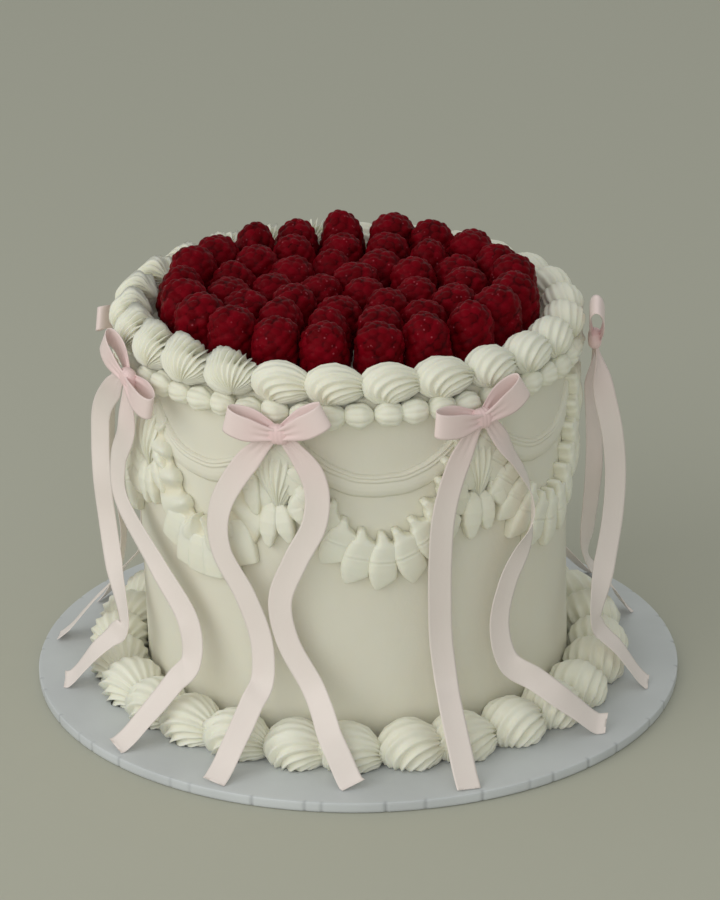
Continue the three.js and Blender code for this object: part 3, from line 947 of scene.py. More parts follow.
@dataclass(frozen=True)
class Swag:
    """A curve that hangs between two bows: low in its middle, rising to both ends."""

    index: int
    low: float
    rise: float
    bend: float

    @property
    def start(self) -> float:
        """The azimuth it starts at."""
        return BOW_AZIMUTHS[self.index]

    @property
    def half(self) -> float:
        """Half of its span in degrees."""
        after = BOW_AZIMUTHS[(self.index + 1) % len(BOW_AZIMUTHS)]
        return ((after - self.start) % 360) / 2

    def height(self, share: np.ndarray) -> np.ndarray:
        """Its height at shares from -1 to 1: low + rise * |share| ** bend."""
        return self.low + self.rise * np.abs(share) ** self.bend

    def slope(self, share: np.ndarray) -> np.ndarray:
        """Its angle to the level, in radians."""
        climb = self.rise * self.bend * np.abs(share) ** (self.bend - 1) * np.sign(share)
        return np.arctan2(climb, math.radians(self.half) * CAKE_RADIUS)

    def walk(self, span: float) -> tuple[np.ndarray, np.ndarray]:
        """The way along the curve, as the sum of its short steps.

        Args:
            span: the share at which it ends, on both sides.

        Returns:
            Shares from -span to span, and how far along the curve each lies in mm.
        """
        fine = np.linspace(-span, span, 401)
        across = np.diff(fine) * math.radians(self.half) * CAKE_RADIUS
        return fine, np.append(0, np.cumsum(np.hypot(across, np.diff(self.height(fine)))))

    def even(self, span: float, steps: int) -> np.ndarray:
        """Shares from -span to span at equal steps along the curve."""
        fine, walked = self.walk(span)
        return np.interp(np.linspace(0, walked[-1], steps), walked, fine)

    def length(self, span: float) -> float:
        """The curve's length between the shares -span and span."""
        return float(self.walk(span)[1][-1])

    def spot(
        self, share: Number, along: Number, across: Number, out: Number, tilt: Number | None = None
    ) -> np.ndarray:
        """Points beside the curve.

        Args:
            share: where on the curve.
            along: mm along it.
            across: mm across it, upwards.
            out: mm out of the wall.
            tilt: the angle that `along` has to the level, or none for the curve's own.

        Returns:
            The points on the cake.
        """
        turn = self.slope(share) if tilt is None else tilt
        x = np.cos(turn) * along - np.sin(turn) * across
        z = np.sin(turn) * along + np.cos(turn) * across
        azimuth = self.start + self.half * (1 + share) + np.degrees(x / CAKE_RADIUS)
        return polar(azimuth, CAKE_RADIUS + out, self.height(share) + z)


@dataclass
class Strings:
    """The piped strings: two thin ridges over a soft band, in each swag.

    Their section goes from top to bottom through `offset`, mm above the curve, `stand`, mm out
    of the wall, and `crest`, how little each place is shaded; it is carried along the curve.
    """

    low: float = 132.0
    rise: float = 26.0
    bend: float = 2.4
    steps: int = 150
    span: float = 0.94
    offset: tuple[float, ...] = (4.9, 4.5, 3.9, 3.3, 3.0, 2.7, 2.1, 1.5, 1.2, -0.2, -2.4, -4.6, -5.8)
    stand: tuple[float, ...] = (0.0, 1.2, 1.8, 1.6, 1.25, 1.6, 1.9, 1.6, 1.3, 1.7, 1.9, 1.3, 0.0)
    crest: tuple[float, ...] = (0.8, 0.95, 1, 0.95, 0.75, 0.95, 1, 0.95, 0.8, 1, 1, 1, 0.95)
    wobble: float = 0.25
    sunk: float = -0.4

    def build(self, finish: bpy.types.Material) -> None:
        """Builds the strings of all swags.

        Args:
            finish: its material.
        """
        parts = [self.string(index) for index in range(len(BOW_AZIMUTHS))]
        strings = make_piece("string_swags", parts, finish)
        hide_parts("cake")

    def string(self, index: int) -> Surface:
        """One swag's strings.

        Args:
            index: the number of the bow it starts at, from 0.

        Returns:
            The strings.
        """
        swag = Swag(index, self.low, self.rise, self.bend)
        span = self.span
        share = swag.even(span, self.steps)[:, None]
        fine = np.linspace(0, len(self.offset) - 1, 40)
        places = np.arange(len(self.offset))
        across = np.interp(fine, places, self.offset)[None]
        stand = np.interp(fine, places, self.stand)[None]
        along = np.concatenate([share * 60, share * 0, share * 0], axis=1)
        wobble = self.wobble * ripple(along, 21.0, index)[:, None]
        fade = smooth(span, span - 0.06, np.abs(share))
        out = self.sunk + (stand - self.sunk) * fade
        front = swag.spot(share, 0, across + wobble, out)
        back = swag.spot(share, 0, across[:, ::-1][:, 1:-1] + wobble, -1.0)
        grid = np.concatenate([front, back], axis=1)
        shown = np.interp(fine, places, self.crest)
        crest = np.concatenate([shown, np.ones(len(fine) - 2)])[None] * np.ones_like(share)
        return closed(grid, grid[0].mean(0), grid[-1].mean(0), crest=crest)


@dataclass(frozen=True)
class Petal:
    """One piped petal's outline: for each share of its height, its half width, its drift to
    one side and its depth, in mm. Its sections are ovals with square shoulders."""

    rise: tuple[float, ...]
    wide: tuple[float, ...]
    drift: tuple[float, ...]
    deep: tuple[float, ...]
    mesh: tuple[int, int] = (46, 22)
    back: float = 0.8

    def build(self, size: Triple) -> tuple[np.ndarray, ...]:
        """The petal in its own axes.

        Args:
            size: factors on its width and depth, and its height in mm.

        Returns:
            Rings along, across and out, the two tips, and the crest value.
        """
        wide, deep, tall = size
        rows, ring = self.mesh
        share = np.linspace(-1, 1, rows + 2)
        half = np.interp(share, self.rise, self.wide)[:, None] * wide
        drift = np.interp(share, self.rise, self.drift)[:, None] * wide
        depth = np.interp(share, self.rise, self.deep)[:, None] * deep
        around = np.linspace(0, 2 * math.pi, ring, endpoint=False)[None]
        cos, sin = np.cos(around), np.sin(around)
        along = drift + half * np.sign(cos) * np.abs(cos) ** 0.6
        front = np.where(sin > 0, depth * np.maximum(sin, 0) ** 0.32, self.back * sin)
        front = front * (1 + 0.1 * np.clip(np.cos(around), -1, 1) * (sin > 0))
        across = share[:, None] * tall / 2 * np.ones_like(along)
        grid = np.stack([along, across, front], axis=-1)
        # The crest value falls towards the petal's edges, which paints shade there.
        crest = np.clip(np.maximum(sin, 0) ** 0.8, 0.45, 1) * np.ones_like(along)
        return grid[1:-1], grid[0].mean(0), grid[-1].mean(0), crest[1:-1]


class PetalStyle(Enum):
    """The petals seen on the cake."""

    LEAF = Petal(
        (-1, -0.79, -0.57, -0.3, 0.0, 0.03, 0.08, 0.12, 0.35, 0.53, 0.62, 0.72, 0.95, 1),
        (0.2, 3.0, 5.1, 5.4, 5.1, 5.0, 5.0, 5.1, 5.2, 5.3, 3.4, 2.2, 1.3, 0.3),
        (-2.2, -1.1, 0.0, -0.3, -0.6, -0.6, -0.6, -0.6, 0.1, 0.8, -0.1, -1.0, -1.7, -1.8),
        (2.4, 3.8, 4.9, 5.6, 5.9, 5.2, 6.3, 5.7, 6.0, 6.2, 6.0, 5.6, 5.2, 4.2),
    )
    WAVE = Petal(
        (-1, -0.95, -0.5, 0.0, 0.5, 0.93, 1),
        (4.6, 5.4, 5.8, 6.0, 5.8, 5.2, 4.0),
        (-0.6, -0.6, 0.0, 0.4, 0.3, 0.0, 0.0),
        (2.2, 3.4, 4.2, 4.6, 4.4, 3.6, 2.0),
    )
    TIP = Petal(
        (-1, -0.8, -0.3, 0.2, 0.7, 1),
        (0.3, 1.8, 3.6, 4.0, 3.2, 1.0),
        (0.4, 0.3, 0.0, 0.0, 0.2, 0.2),
        (2.6, 4.2, 5.6, 6.0, 5.0, 2.5),
    )


@dataclass
class Garlands:
    """The ruffles that hang between the bows, and the fluted drop under each bow."""

    low: float = 97.0
    rise: float = 62.0
    bend: float = 2.3
    span: float = 0.9
    pitch: float = 10.5
    fold: float = 13.5
    width: float = 28.0
    end_width: float = 19.0
    lap: float = -0.2
    fold_mesh: tuple[int, int] = (170, 18)
    tabs: tuple[float, ...] = (-0.42, -0.24, -0.06, 0.12, 0.3, 0.47)
    tab_down: float = 6.5
    drop_top: float = 153.0
    drop_half: Triple = (11.0, 7.3, 17.8)
    # The leaf tips round a drop: mm beside and above its top, turn in degrees, height in mm
    # and a factor on the width.
    leaves: tuple[tuple[float, ...], ...] = (
        (-4.6, -40.5, -4, 23, 1.1),
        (2.6, -39.5, 10, 20, 1.0),
        (9.4, -33, 24, 17, 0.9),
        (11.2, -24, 34, 12, 0.75),
        (-11.5, -27, 6, 21, 1.1),
    )

    def build(self, finish: bpy.types.Material) -> None:
        """Builds the ruffles, then the drops.

        Args:
            finish: its material.
        """
        draw = np.random.default_rng(31)
        ruffles = []
        for index in range(len(BOW_AZIMUTHS)):
            ruffles += self.ruffle(index, draw)
        drops = []
        for azimuth in BOW_AZIMUTHS:
            drops += self.drop(azimuth, draw)
        for name, parts in (("ruffles", ruffles), ("drops", drops)):
            made = make_piece(name, parts, finish)
            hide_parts("garland")

    def ruffle(self, index: int, draw: np.random.Generator) -> list[Surface]:
        """One swag's ruffle.

        Args:
            index: the number of the bow it starts at, from 0.
            draw: where the petals' unevenness comes from.

        Returns:
            Its petals, or its folds and tabs in the last swag.
        """
        swag = Swag(index, self.low, self.rise, self.bend)
        if index == len(BOW_AZIMUTHS) - 1:
            return self.folds(swag, draw)
        parts = []
        for share in swag.even(self.span, round(swag.length(self.span) / self.pitch)):
            width = self.width + (self.end_width - self.width) * share**2
            wide, deep = draw.uniform(1.12, 1.22), draw.uniform(0.9, 1.0)
            size = (wide, deep, width * draw.uniform(0.94, 1.06))
            tilt = float(swag.slope(share)) * 0.6 + math.radians(draw.uniform(-7, 5))
            parts.append(self.petal(PetalStyle.LEAF, swag, share, 0.0, tilt, size))
        return parts

    def petal(
        self,
        style: PetalStyle,
        swag: Swag,
        share: float,
        down: float,
        tilt: float,
        size: Triple,
    ) -> Surface:
        """One petal beside a swag's curve.

        Args:
            style: its outline.
            swag: the curve.
            share: where on the curve.
            down: how far its middle lies below the curve, in mm.
            tilt: its angle to the upright, in radians.
            size: factors on its width and depth, and its height in mm.

        Returns:
            The petal.
        """
        *shapes, crest = style.value.build(size)
        placed = []
        for points in shapes:
            along, across, out = points[..., 0], points[..., 1] - down, points[..., 2]
            lifted = out * (1 + self.lap * along / 5)
            placed.append(swag.spot(share, along, across, WALL - CAKE_RADIUS + lifted, tilt))
        return closed(*placed, crest=crest)

    def folds(self, swag: Swag, draw: np.random.Generator) -> list[Surface]:
        """The thick wavy folds of one swag, with square tabs under them.

        The folds sway as the cosine of the way along, later towards the lower edge, which
        moves the band across the curve and out of the wall.

        Args:
            swag: the curve.
            draw: where the tabs' unevenness comes from.

        Returns:
            The folds and the tabs.
        """
        steps, wide = self.fold_mesh
        share = swag.even(self.span, steps)[:, None]
        walked = np.linspace(0, swag.length(self.span), steps)[:, None]
        phase = walked / self.fold * 2 * math.pi + 0.5 * np.sin(walked / 17)
        side = np.append(np.linspace(-1, 1, wide), [1.06, 1.0, 0.9, 0.6, 0.0, -0.6])[None]
        back = np.append(np.zeros(wide), [0.35, 0.75, 0.95, 1.1, 1.12, 1.12])[None]
        width = (self.width + (self.end_width - self.width) * share**2) / 2
        sway = np.cos(phase - 0.9 * side)
        square = np.sign(sway) * np.abs(sway) ** 0.6
        across = width * side * 0.8 + 1.9 * smooth(0.2, 1, side) * square
        stand = 3.4 + 0.9 * side + (0.6 + 1.9 * smooth(-0.6, 1, side)) * sway
        stand = stand * smooth(-1.12, -0.8, side) + 0.2
        end = smooth(self.span, self.span - 0.05, np.abs(share))
        out = (stand * end + 0.4) * (1 - back) - 0.6 * np.minimum(back, 1)
        grid = swag.spot(share, 0 * across, across, out)
        # The crest value is low where the folds sway back, which paints shade into their hollows.
        crest = np.clip(0.62 + 0.5 * sway, 0.1, 1) * np.ones_like(across)
        parts = [closed(grid, grid[0].mean(0), grid[-1].mean(0), crest=crest)]
        for place in self.tabs:
            size = (draw.uniform(0.95, 1.1), draw.uniform(0.9, 1.05), draw.uniform(19, 23))
            tilt = float(swag.slope(place)) * 0.35 + math.radians(draw.uniform(-6, 6))
            parts.append(self.petal(PetalStyle.WAVE, swag, place, self.tab_down, tilt, size))
        return parts

    def drop(self, azimuth: float, draw: np.random.Generator) -> list[Surface]:
        """One drop: a fluted body that narrows downwards, with leaf tips under and beside it.

        Args:
            azimuth: where it hangs, in degrees.
            draw: where its unevenness comes from.

        Returns:
            The body and the tips.
        """
        rings, top, foot, crest = ShellStyle.DROP.value.ball(draw.uniform(-0.5, 0.5))
        placed = []
        for points in (rings, top, foot):
            points = points * np.array(self.drop_half)
            taper = 0.45 + 0.55 * smooth(-17, 4, points[..., 2])
            points = points * np.stack([taper, taper**0.5, np.ones_like(taper)], -1)
            placed.append(settle(points, azimuth, WALL, self.drop_top - 17.0))
        parts = [closed(*placed, crest=crest)]
        for along, down, turn, tall, wide in self.leaves:
            size = (wide * draw.uniform(0.95, 1.1), 0.95, tall)
            rings, low, high, crest = PetalStyle.TIP.value.build(size)
            angle = math.radians(turn + draw.uniform(-4, 4))
            spots = []
            for points in (rings, low, high):
                u, v, out = points[..., 0], points[..., 1], points[..., 2]
                x = along + u * math.cos(angle) - v * math.sin(angle)
                z = down + u * math.sin(angle) + v * math.cos(angle)
                local = np.stack([x, out, z], axis=-1)
                spots.append(settle(local, azimuth, WALL, self.drop_top))
            parts.append(closed(*spots, crest=crest))
        return parts


# ---- Bows ----


@dataclass(frozen=True)
class Tail:
    """One ribbon tail: its drift beside the drop at six heights, its swing away from the wall,
    where its end lies on the board, how far it turns about the upright, and the heights
    between which it turns back."""

    drift: tuple[float, ...]
    swing: float
    end: tuple[float, float]
    turn: float = 0.0
    back: tuple[float, float] = (34, 62)


@dataclass(frozen=True)
class Bow:
    """One bow: its knot beside the drop, how far its loops lift, and its two tails."""

    azimuth: float
    knot: tuple[float, float]
    lifts: tuple[float, float]
    tails: tuple[Tail, Tail]


BOWS = (
    Bow(-18, (2.5, 160), (14, 28), (
        Tail((-7.3, -13, -13.4, -8, -4.4, -3.6), 0, (-7.6, 148)),
        Tail((9.9, 9.9, 4.9, 0.8, 2.3, 7.8), 0, (17, 140)),
    )),
    Bow(33.2, (-2.7, 162), (5, 31), (
        Tail((-9.1, -12.2, -13.1, -13.2, -13.1, -12.8), 0, (-14.5, 149.2)),
        Tail((6, 11.9, 11.7, 5.4, 2.6, 3.8), 0, (19.7, 140.6), 50, (86, 112)),
    )),
    Bow(85.5, (0.2, 166), (59, 21), (
        Tail((0.5, 0, -0.5, -3, -9.5, -16), 12, (-11.8, 141), -62),
        Tail((7.5, 6.5, 4, 6, 10, 15), 2, (23, 140), -50),
    )),
    Bow(139, (1, 161), (18, 22), (
        Tail((-7, -11, -12, -9, -6, -8), 1, (-14, 146)),
        Tail((6.5, 9.5, 8, 5, 6, 10), 3, (15, 141)),
    )),
    Bow(196, (-1, 160), (13, 26), (
        Tail((-6, -10, -13, -10, -5, -4), 2, (-9, 143)),
        Tail((7, 12, 13, 8, 4, 6), 0, (12, 147)),
    )),
    Bow(250, (2, 163), (24, 17), (
        Tail((-6, -9, -8, -5, -4, -5), 2, (-6, 141)),
        Tail((6, 9, 11, 10, 9, 11), 4, (13, 146)),
    )),
    Bow(298, (2.5, 167), (35, -17), (
        Tail((-18, -22, -21.5, -21.5, -17, -6), 6, (-14.6, 141.5), 48),
        Tail((-1, -8, -8, 9, 19, 21.2), 1, (14.4, 148), 22),
    )),
)


@dataclass
class Ribbons:
    """All bows, each of satin ribbon: two loops, a knot and two tails."""

    width: float = 11.0
    thick: float = 0.3
    knot_radius: float = 112.9
    loop_length: float = 24.0
    bulge: float = 3.4
    mouth: float = 1.1
    pinch: float = 0.55
    fan: float = 4.0
    lie: float = 0.4
    pleat: float = 0.5
    knot_half: Triple = (5.2, 3.2, 4.6)
    knot_ribbon: float = 30.0
    heights: tuple[float, ...] = (140, 120, 100, 80, 60, 42)
    radii: tuple[float, ...] = (111.8, 111.6, 110.8, 109.6, 109.4, 112.8)
    # Where a tail passes over the base shells: the share of its sideways way, the share of
    # its outward way from `shell_radius`, and its height.
    shell_radius: float = 127.5
    over: tuple[Triple, ...] = ((0.5, 0, 25.0), (0.7, 0.36, 17.3), (0.86, 0.68, 10.4))

    def build(self, finish: bpy.types.Material) -> None:
        """Builds each bow and logs how much ribbon it takes.

        Args:
            finish: its material.
        """
        for index, bow in enumerate(BOWS):
            azimuth, height = bow.azimuth + bow.knot[0], bow.knot[1]
            parts, length = [self.knot(azimuth, height)], self.knot_ribbon
            for side, lift in zip((-1, 1), bow.lifts):
                part, used = self.loop(azimuth, height, side, lift)
                parts.append(part)
                length += used
            for tail in bow.tails:
                part, used = self.tail(bow, tail)
                parts.append(part)
                length += used
            made = make_piece(f"ribbon_bow_{index + 1}", parts, finish)
            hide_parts(f"bow_{index + 1}")
            LOG.info("%s: %d mm of ribbon", made.name, round(length))

    def strip(
        self,
        centre: np.ndarray,
        across: np.ndarray,
        through: np.ndarray,
        half: np.ndarray,
        pink: np.ndarray,
        cup: np.ndarray,
        gather: np.ndarray,
    ) -> Surface:
        """A thin closed strip of ribbon, whose section is a shallow bowl with three pleats.

        Args:
            centre: points along its middle line.
            across: unit vectors across it.
            through: unit vectors through it.
            half: half of its width at each point.
            pink: how pink it is at each point.
            cup: how far its edges stand out, in mm, at each point.
            gather: how deep its pleats are, in mm, at each point.

        Returns:
            The strip.
        """
        side = np.linspace(-1, 1, 13)
        reach = half[:, None] * side[None]
        pleat = np.cos(3 * math.pi * side)[None]
        lift = cup[:, None] * (side[None] ** 2 - 0.4) + gather[:, None] * pleat
        middle = centre[:, None] + reach[..., None] * across[:, None]
        middle = middle + lift[..., None] * through[:, None]
        lowest = middle[..., 2].min(axis=1, keepdims=True)
        middle[..., 2] += np.maximum(BOARD_FACE + 0.1 - lowest, 0)
        skin = 0.5 * self.thick * through[:, None]
        grid = np.concatenate([middle + skin, (middle - skin)[:, ::-1]], axis=1)
        shares = np.concatenate([side, side[::-1]])[None] * np.ones((len(centre), 1))
        tint = pink[:, None] * np.ones_like(shares)
        return closed(grid, grid[0].mean(0), grid[-1].mean(0), across=shares, pink=tint)

    def loop(self, azimuth: float, height: float, side: int, lift: float) -> tuple[Surface, float]:
        """One loop: it leaves the knot, turns round and comes back behind.

        With t going once round, it reaches out by half of (1 - cos t) of its length and bulges
        by sin t times sin t/2, while its two halves part as they leave the knot.

        Args:
            azimuth: the knot's azimuth.
            height: the knot's height.
            side: -1 for the loop towards smaller azimuths, 1 for the other.
            lift: how far it points up, in degrees.

        Returns:
            The strip and its length.
        """
        centre = polar(azimuth, self.knot_radius + 0.8, height)
        out = outwards(azimuth)
        angle = math.radians(lift)
        reach = outwards(azimuth + 90) * side * math.cos(angle) + np.array([0, 0, math.sin(angle)])
        across = np.cross(out, reach)
        turn = np.linspace(0, 2 * math.pi, 72)
        along = self.loop_length * (1 - np.cos(turn)) / 2
        depth = self.bulge * np.sin(turn) * np.sin(turn / 2) + self.mouth * np.cos(turn / 2)
        apart = self.fan * (turn / math.pi - 1) * along / self.loop_length
        points = centre + along[:, None] * reach + depth[:, None] * out
        points = points + side * apart[:, None] * across
        steps = np.gradient(points, axis=0)
        through = unit(np.cross(unit(steps), across))
        spread = smooth(0, 0.62 * self.loop_length, along)
        half = self.width / 2 * (self.pinch + (1 - self.pinch) * spread)
        pink = 0.8 - 0.35 * smooth(0, self.loop_length, along)
        cup, gather = 0.9 * (1 - spread), self.pleat * (1 - spread)
        band = self.strip(points, np.tile(across, (len(turn), 1)), through, half, pink, cup, gather)
        return band, float(np.linalg.norm(np.diff(points, axis=0), axis=1).sum())

    def tail(self, bow: Bow, tail: Tail) -> tuple[Surface, float]:
        """One tail: it falls from the knot, passes over the base shells and lies on the board.

        Its middle is a smooth curve through listed places, and its width is square to
        the curve and to the way it faces, which is outwards, turned and tipped up at the end.

        Args:
            bow: the bow it hangs from.
            tail: its course.

        Returns:
            The strip and its length.
        """
        lying = BOARD_THICK + 0.45
        drift = np.array(tail.drift)
        steps = len(self.heights)
        swung = tail.swing * np.sin(math.pi * np.arange(1, steps + 1) / (steps + 1))
        leave = bow.knot[0] * 0.88 + drift[0] * 0.12
        route = [(leave, self.knot_radius, bow.knot[1])]
        route += list(zip(drift, np.array(self.radii) + swung, self.heights))
        aside, away = tail.end[0] - drift[-1], tail.end[1] - self.shell_radius
        route.append((drift[-1] + aside * 0.3, 120.0, 33.0))
        for share, outward, height in self.over:
            route.append((drift[-1] + aside * share, self.shell_radius + outward * away, height))
        route.append((*tail.end, lying))
        turns, radii, heights = np.array(route).T
        points = curve_through(polar(bow.azimuth + turns, radii, heights), 130)
        points[:, 2] = np.maximum(points[:, 2], lying)
        walked = np.append(0, np.cumsum(np.linalg.norm(np.diff(points, axis=0), axis=1)))
        along = unit(np.gradient(points, axis=0))
        flat = self.lie * smooth(0, 24, 36 - points[:, 2])[:, None]
        level = unit(points * np.array([1.0, 1.0, 0.0]))
        turned = np.radians(tail.turn) * smooth(0, 30, walked) * smooth(*tail.back, points[:, 2])
        cos, sin = np.cos(turned), np.sin(turned)
        x, y = level[:, 0].copy(), level[:, 1].copy()
        level[:, 0], level[:, 1] = x * cos - y * sin, x * sin + y * cos
        facing = level * (1 - flat) + np.array([0, 0, 1.0]) * flat
        across = unit(np.cross(along, facing))
        through = unit(np.cross(across, along))
        spread = smooth(0, 22, walked)
        half = self.width / 2 * (self.pinch + (1 - self.pinch) * spread)
        pink = 0.5 - 0.4 * smooth(0, 50, walked)
        cup = (0.8 * (1 - spread) + 0.35) * (1 - flat[:, 0])
        gather = self.pleat * (1 - spread)
        return self.strip(points, across, through, half, pink, cup, gather), float(walked[-1])

    def knot(self, azimuth: float, height: float) -> Surface:
        """The knot: a squarish barrel of ribbon drawn tight round the middle, in creases.

        Args:
            azimuth: where its middle lies, in degrees.
            height: how high, in mm.

        Returns:
            The knot.
        """
        wide, deep, tall = self.knot_half
        rows, ring = 26, 44
        share = np.linspace(-1, 1, rows + 2)[1:-1][:, None]
        around = np.linspace(0, 2 * math.pi, ring, endpoint=False)[None]
        crease = 1 - 0.07 * (1 - np.abs(np.cos(share * 9 + 0.6 * np.sin(around)))) ** 1.5
        body = (1 - np.abs(share) ** 3.2) ** 0.5 * crease
        cos, sin = np.cos(around), np.sin(around)
        out = deep * body * np.sign(cos) * np.abs(cos) ** 0.8
        up = tall * body * np.sign(sin) * np.abs(sin) ** 0.8
        along = wide * share * np.ones_like(around)
        grid = settle(np.stack([along, out, up], -1), azimuth, self.knot_radius, height)
        ends = settle(np.array([[-wide, 0, 0], [wide, 0, 0]]), azimuth, self.knot_radius, height)
        ones = np.ones(grid.shape[:2])
        return closed(grid, *ends, across=ones * 0, pink=ones)


def curve_through(route: np.ndarray, count: int) -> np.ndarray:
    """Points at even steps along a smooth curve through the given ones.

    Between two of them it is the cubic whose slope at each is half the step past it.

    Args:
        route: the points it passes.
        count: how many points to give.

    Returns:
        The points.
    """
    ends = np.concatenate([2 * route[:1] - route[1:2], route, 2 * route[-1:] - route[-2:-1]])
    share = np.linspace(0, 1, 24, endpoint=False)[None, :, None]
    a, b, c, d = (ends[start : len(ends) - 3 + start, None] for start in range(4))
    cubic = (
        2 * b
        + (c - a) * share
        + (2 * a - 5 * b + 4 * c - d) * share**2
        + (3 * b - a - 3 * c + d) * share**3
    ) / 2
    fine = np.concatenate([cubic.reshape(-1, 3), route[-1:]])
    walked = np.append(0, np.cumsum(np.linalg.norm(np.diff(fine, axis=0), axis=1)))
    wanted = np.linspace(0, walked[-1], count)
    return np.stack([np.interp(wanted, walked, fine[:, axis]) for axis in range(3)], axis=-1)


# ---- Raspberries ----


@dataclass(frozen=True)
class BerryRing:
    """A ring of upright raspberries."""

    name: str
    count: int
    radius: float
    tall: float
    wide: float
    turn: float


@dataclass
class Raspberries:
    """The raspberries that stand on the cake, in rings.

    `rise` and `reach` are a berry's outline, as shares of its height and of half its width.
    Its drupelets are domes `dome` mm wide with `relief` mm between their tops and the seams.
    """

    rings: tuple[BerryRing, ...] = (
        BerryRing("outer", 21, 76.2, 26.5, 20.8, 10),
        BerryRing("second", 15, 54.6, 24.5, 20.4, 15),
        BerryRing("third", 9, 33.2, 23.5, 20.2, -7),
        BerryRing("middle", 3, 12.4, 23.5, 20.0, 40),
    )
    tilt: float = 4.0
    spread: float = 0.03
    state: int = 20
    dome: float = 2.5
    relief: float = 0.8
    plump: float = 1.13
    taper: float = 0.14
    lump: float = 0.35
    drupelets_each: int = 104
    mesh: tuple[int, int] = (76, 60)
    rise: tuple[float, ...] = (0.0, 0.0, 0.06, 0.3, 0.62, 0.8, 0.92, 0.98, 1.0)
    reach: tuple[float, ...] = (0.0, 0.95, 1.0, 1.0, 0.94, 0.79, 0.55, 0.28, 0.0)
    tip: tuple[float, ...] = (0, 0, 0, 0, 0.4, 0.8, 1, 1, 0)

    def chance(self) -> float:
        """The next number from 0 to 1 of a short fixed row."""
        self.state = (self.state * 1664525 + 1013904223) % 4294967296
        return self.state / 4294967296

    def build(self, finish: bpy.types.Material) -> None:
        """Builds one piece for each ring.

        Args:
            finish: its material.
        """
        number = 0
        for ring in self.rings:
            parts, nodes = [], []
            for index in range(ring.count):
                number += 1
                size = 1 + self.spread * (2 * self.chance() - 1)
                tall = ring.tall * (1 + 2 * self.spread * (2 * self.chance() - 1))
                tilt, towards = self.tilt * self.chance(), 360 * self.chance()
                azimuth = ring.turn + index * 360 / ring.count
                wide = ring.wide * size
                parts.append(self.berry(azimuth, ring.radius, tall, wide, tilt, towards, number))
                nodes.append(f"berry_{number:02d}")
            made = make_piece(f"raspberries_{ring.name}", parts, finish)
            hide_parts(*nodes)

    def berry(
        self,
        azimuth: float,
        radius: float,
        tall: float,
        wide: float,
        tilt: float,
        towards: float,
        number: int,
    ) -> Surface:
        """One raspberry: a blunt cone covered with domed drupelets.

        The outline is turned round the upright, and each point is pulled towards the core by
        `relief` times the square of its distance from the nearest drupelet's middle.

        Args:
            azimuth: where it stands, in degrees.
            radius: its distance from the axis in mm.
            tall: its height in mm.
            wide: its width in mm.
            tilt: how far it leans, in degrees.
            towards: the azimuth of the axis that it leans about.
            number: its number, from which its drupelets are drawn.

        Returns:
            The raspberry.
        """
        draw = np.random.default_rng(100 + number)
        rows, ring = self.mesh
        blunt = draw.uniform(-1, 1)
        narrow = 1 + self.taper * blunt * np.array(self.tip)
        narrow = narrow * draw.uniform(1 - self.taper / 3, 1 + self.taper / 6)
        rise = np.array(self.rise) * tall
        reach = np.array(self.reach) * self.plump * narrow * wide / 2
        walk = np.append(0, np.cumsum(np.hypot(np.diff(rise), np.diff(reach))))
        even = np.linspace(0, walk[-1], rows + 2)
        high = np.interp(even, walk, rise)[:, None]
        out = np.interp(even, walk, reach)[:, None]
        around = np.linspace(0, 2 * math.pi, ring, endpoint=False)
        base = np.stack([out * np.cos(around), out * np.sin(around), high + 0 * around], axis=-1)
        core = np.array([0.0, 0.0, tall * 0.42])
        seeds = self.drupelets(walk, rise, reach, draw)
        gap = np.linalg.norm(base[:, :, None] - seeds[None, None], axis=-1)
        nearest = gap.argmin(axis=2)
        apart = gap.min(axis=2)
        # The dome value also sets the painted shade in the seams between drupelets.
        dome = np.clip(1 - (apart / self.dome) ** 2, 0, 1)
        tint = draw.uniform(0, 1, len(seeds))[nearest]
        away = unit(base - core)
        lumps = self.lump * ripple(base + 50.0 * number, 13.0, 6)
        shape = base + away * (self.relief * (dome - 1) + lumps)[..., None]
        shape[..., 2] = np.clip(shape[..., 2], 0.0, tall)
        tipped = np.radians(tilt)
        axis = outwards(towards)
        turn = np.array(Matrix.Rotation(tipped, 3, Vector(axis)))
        lift = math.sin(tipped) * wide * 0.37
        spot = polar(azimuth, radius, DECK + lift)
        shape = shape @ turn.T + spot
        return closed(shape[1:-1], shape[0, 0], shape[-1, 0], dome=dome[1:-1], tint=tint[1:-1])

    def drupelets(
        self, walk: np.ndarray, rise: np.ndarray, reach: np.ndarray, draw: np.random.Generator
    ) -> np.ndarray:
        """The drupelets' middles, spread over equal areas by turns of the golden angle.

        Args:
            walk: how far along the outline each of its points lies, in mm.
            rise: the points' heights in mm.
            reach: their distances from the berry's axis in mm.
            draw: where their unevenness comes from.

        Returns:
            The middles in mm, with the berry's foot at the origin.
        """
        fine = np.linspace(walk[-1] * 0.1, walk[-1], 300)
        area = np.cumsum(np.interp(fine, walk, reach))
        count = self.drupelets_each
        share = (np.arange(count) + 0.5) / count * area[-1]
        level = np.interp(share, area, fine) + draw.normal(0, 0.35, count)
        turn = np.arange(count) * math.radians(GOLDEN_ANGLE) + draw.normal(0, 0.07, count)
        out, high = np.interp(level, walk, reach), np.interp(level, walk, rise)
        return np.stack([out * np.cos(turn), out * np.sin(turn), high], axis=-1)


# ---- Stage ----


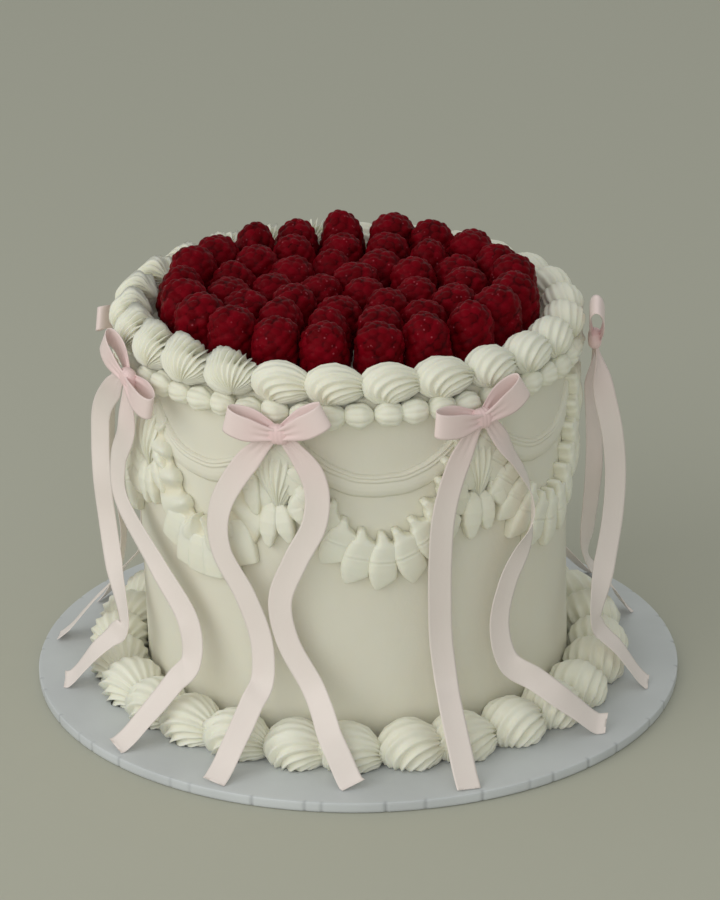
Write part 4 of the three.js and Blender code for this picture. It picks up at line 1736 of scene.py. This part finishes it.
@dataclass
class Studio:
    """The pale floor, the soft light and the camera at the photograph's angle."""

    focal_px: float = 3020.8
    wide_px: int = 720
    tall_px: int = 900
    distance: float = 1.4535
    elevation: float = 25.95
    roll: float = 0.51
    origin_px: tuple[float, float] = (356.4, 659.5)
    ground: Triple = (0.5, 0.5, 0.42)
    air: Triple = (0.48, 0.49, 0.465)
    lamps: tuple[tuple, ...] = (
        ("key", (-1.75, -0.95, 1.15), 1.7, 13.5, (1.0, 0.99, 0.96)),
        ("fill", (-0.55, -2.0, 0.45), 2.2, 14.0, (1.0, 0.98, 0.95)),
    )

    def build(self) -> None:
        """Builds floor, light and camera."""
        self.floor()
        self.light()
        self.camera()

    def floor(self) -> None:
        """A plain pale floor."""
        settings = {"Base Color": rgba(self.ground), "Roughness": 0.7}
        finish = finish_material(*start_material("pale_floor"), settings)
        bpy.ops.mesh.primitive_plane_add(size=60.0)
        floor = bpy.context.object
        floor.name = "floor"
        floor.data.materials.append(finish)

    def light(self) -> None:
        """Two large soft lamps, one high on the left and one in front, in an even surrounding."""
        world = bpy.data.worlds.new("surround")
        world.use_nodes = True
        bpy.context.scene.world = world
        background = world.node_tree.nodes["Background"]
        background.inputs["Color"].default_value = rgba(self.air)
        background.inputs["Strength"].default_value = 1.0
        for name, place, size, power, colour in self.lamps:
            data = bpy.data.lights.new(name, "AREA")
            data.size, data.energy, data.color = size, power, colour
            lamp = bpy.data.objects.new(name, data)
            lamp.location = place
            aim = Vector((0, 0, 0.09)) - Vector(place)
            lamp.rotation_euler = aim.to_track_quat("-Z", "Y").to_euler()
            bpy.context.scene.collection.objects.link(lamp)

    def camera(self) -> None:
        """The camera, aimed so that the board's middle falls on its pixel."""
        lift = math.radians(self.elevation)
        ahead = Vector((0, math.cos(lift), -math.sin(lift)))
        right = Vector((1, 0, 0))
        up = Vector((0, math.sin(lift), math.cos(lift)))
        yaw = math.atan2(self.origin_px[0] - self.wide_px / 2, self.focal_px)
        turn = Matrix.Rotation(yaw, 3, up)
        ahead, right = turn @ ahead, turn @ right
        pitch = math.atan2(self.origin_px[1] - self.tall_px / 2, self.focal_px)
        turn = Matrix.Rotation(pitch, 3, right)
        ahead, up = turn @ ahead, turn @ up
        turn = Matrix.Rotation(math.radians(self.roll), 3, ahead)
        right, up = turn @ right, turn @ up
        data = bpy.data.cameras.new("camera")
        data.sensor_width = 36.0
        data.lens = self.focal_px * 36.0 / self.tall_px
        data.clip_end = 50
        camera = bpy.data.objects.new("camera", data)
        place = Vector((0, -math.cos(lift), math.sin(lift))) * self.distance
        turned = Matrix((right, up, -ahead)).transposed().to_4x4()
        camera.matrix_world = Matrix.Translation(place) @ turned
        bpy.context.scene.collection.objects.link(camera)
        bpy.context.scene.camera = camera
        bpy.context.scene.view_settings.view_transform = "Standard"


def main() -> None:
    """Builds the cake from the board up, then the stage."""
    logging.basicConfig(level=logging.INFO, format="%(message)s")
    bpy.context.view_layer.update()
    cream = cream_effect()
    # The second colour of each cream finish and of the raspberry is the colour of its painted shade.
    icing = CreamFinish("icing", (0.8, 0.785, 0.685), (0.7, 0.61, 0.44)).build(cream)
    piping = CreamFinish("piped_cream", (0.87, 0.87, 0.76), (0.76, 0.68, 0.48)).build(cream)
    satin = SatinFinish("satin", (0.87, 0.81, 0.765), (0.86, 0.64, 0.64)).build(weave_effect())
    berry = BerryFinish("raspberry", (0.105, 0.0004, 0.003), (0.042, 0.0003, 0.0015))
    Board().build(BoardFinish("board_cover", (0.64, 0.67, 0.69), (0.55, 0.575, 0.595)).build())
    IcedWall().build(icing)
    Strings().build(icing)
    TopBorder().build(piping)
    BaseBorder().build(piping)
    Garlands().build(piping)
    Ribbons().build(satin)
    Raspberries().build(berry.build(skin_effect()))
    Studio().build()


if __name__ == "__main__":
    main()
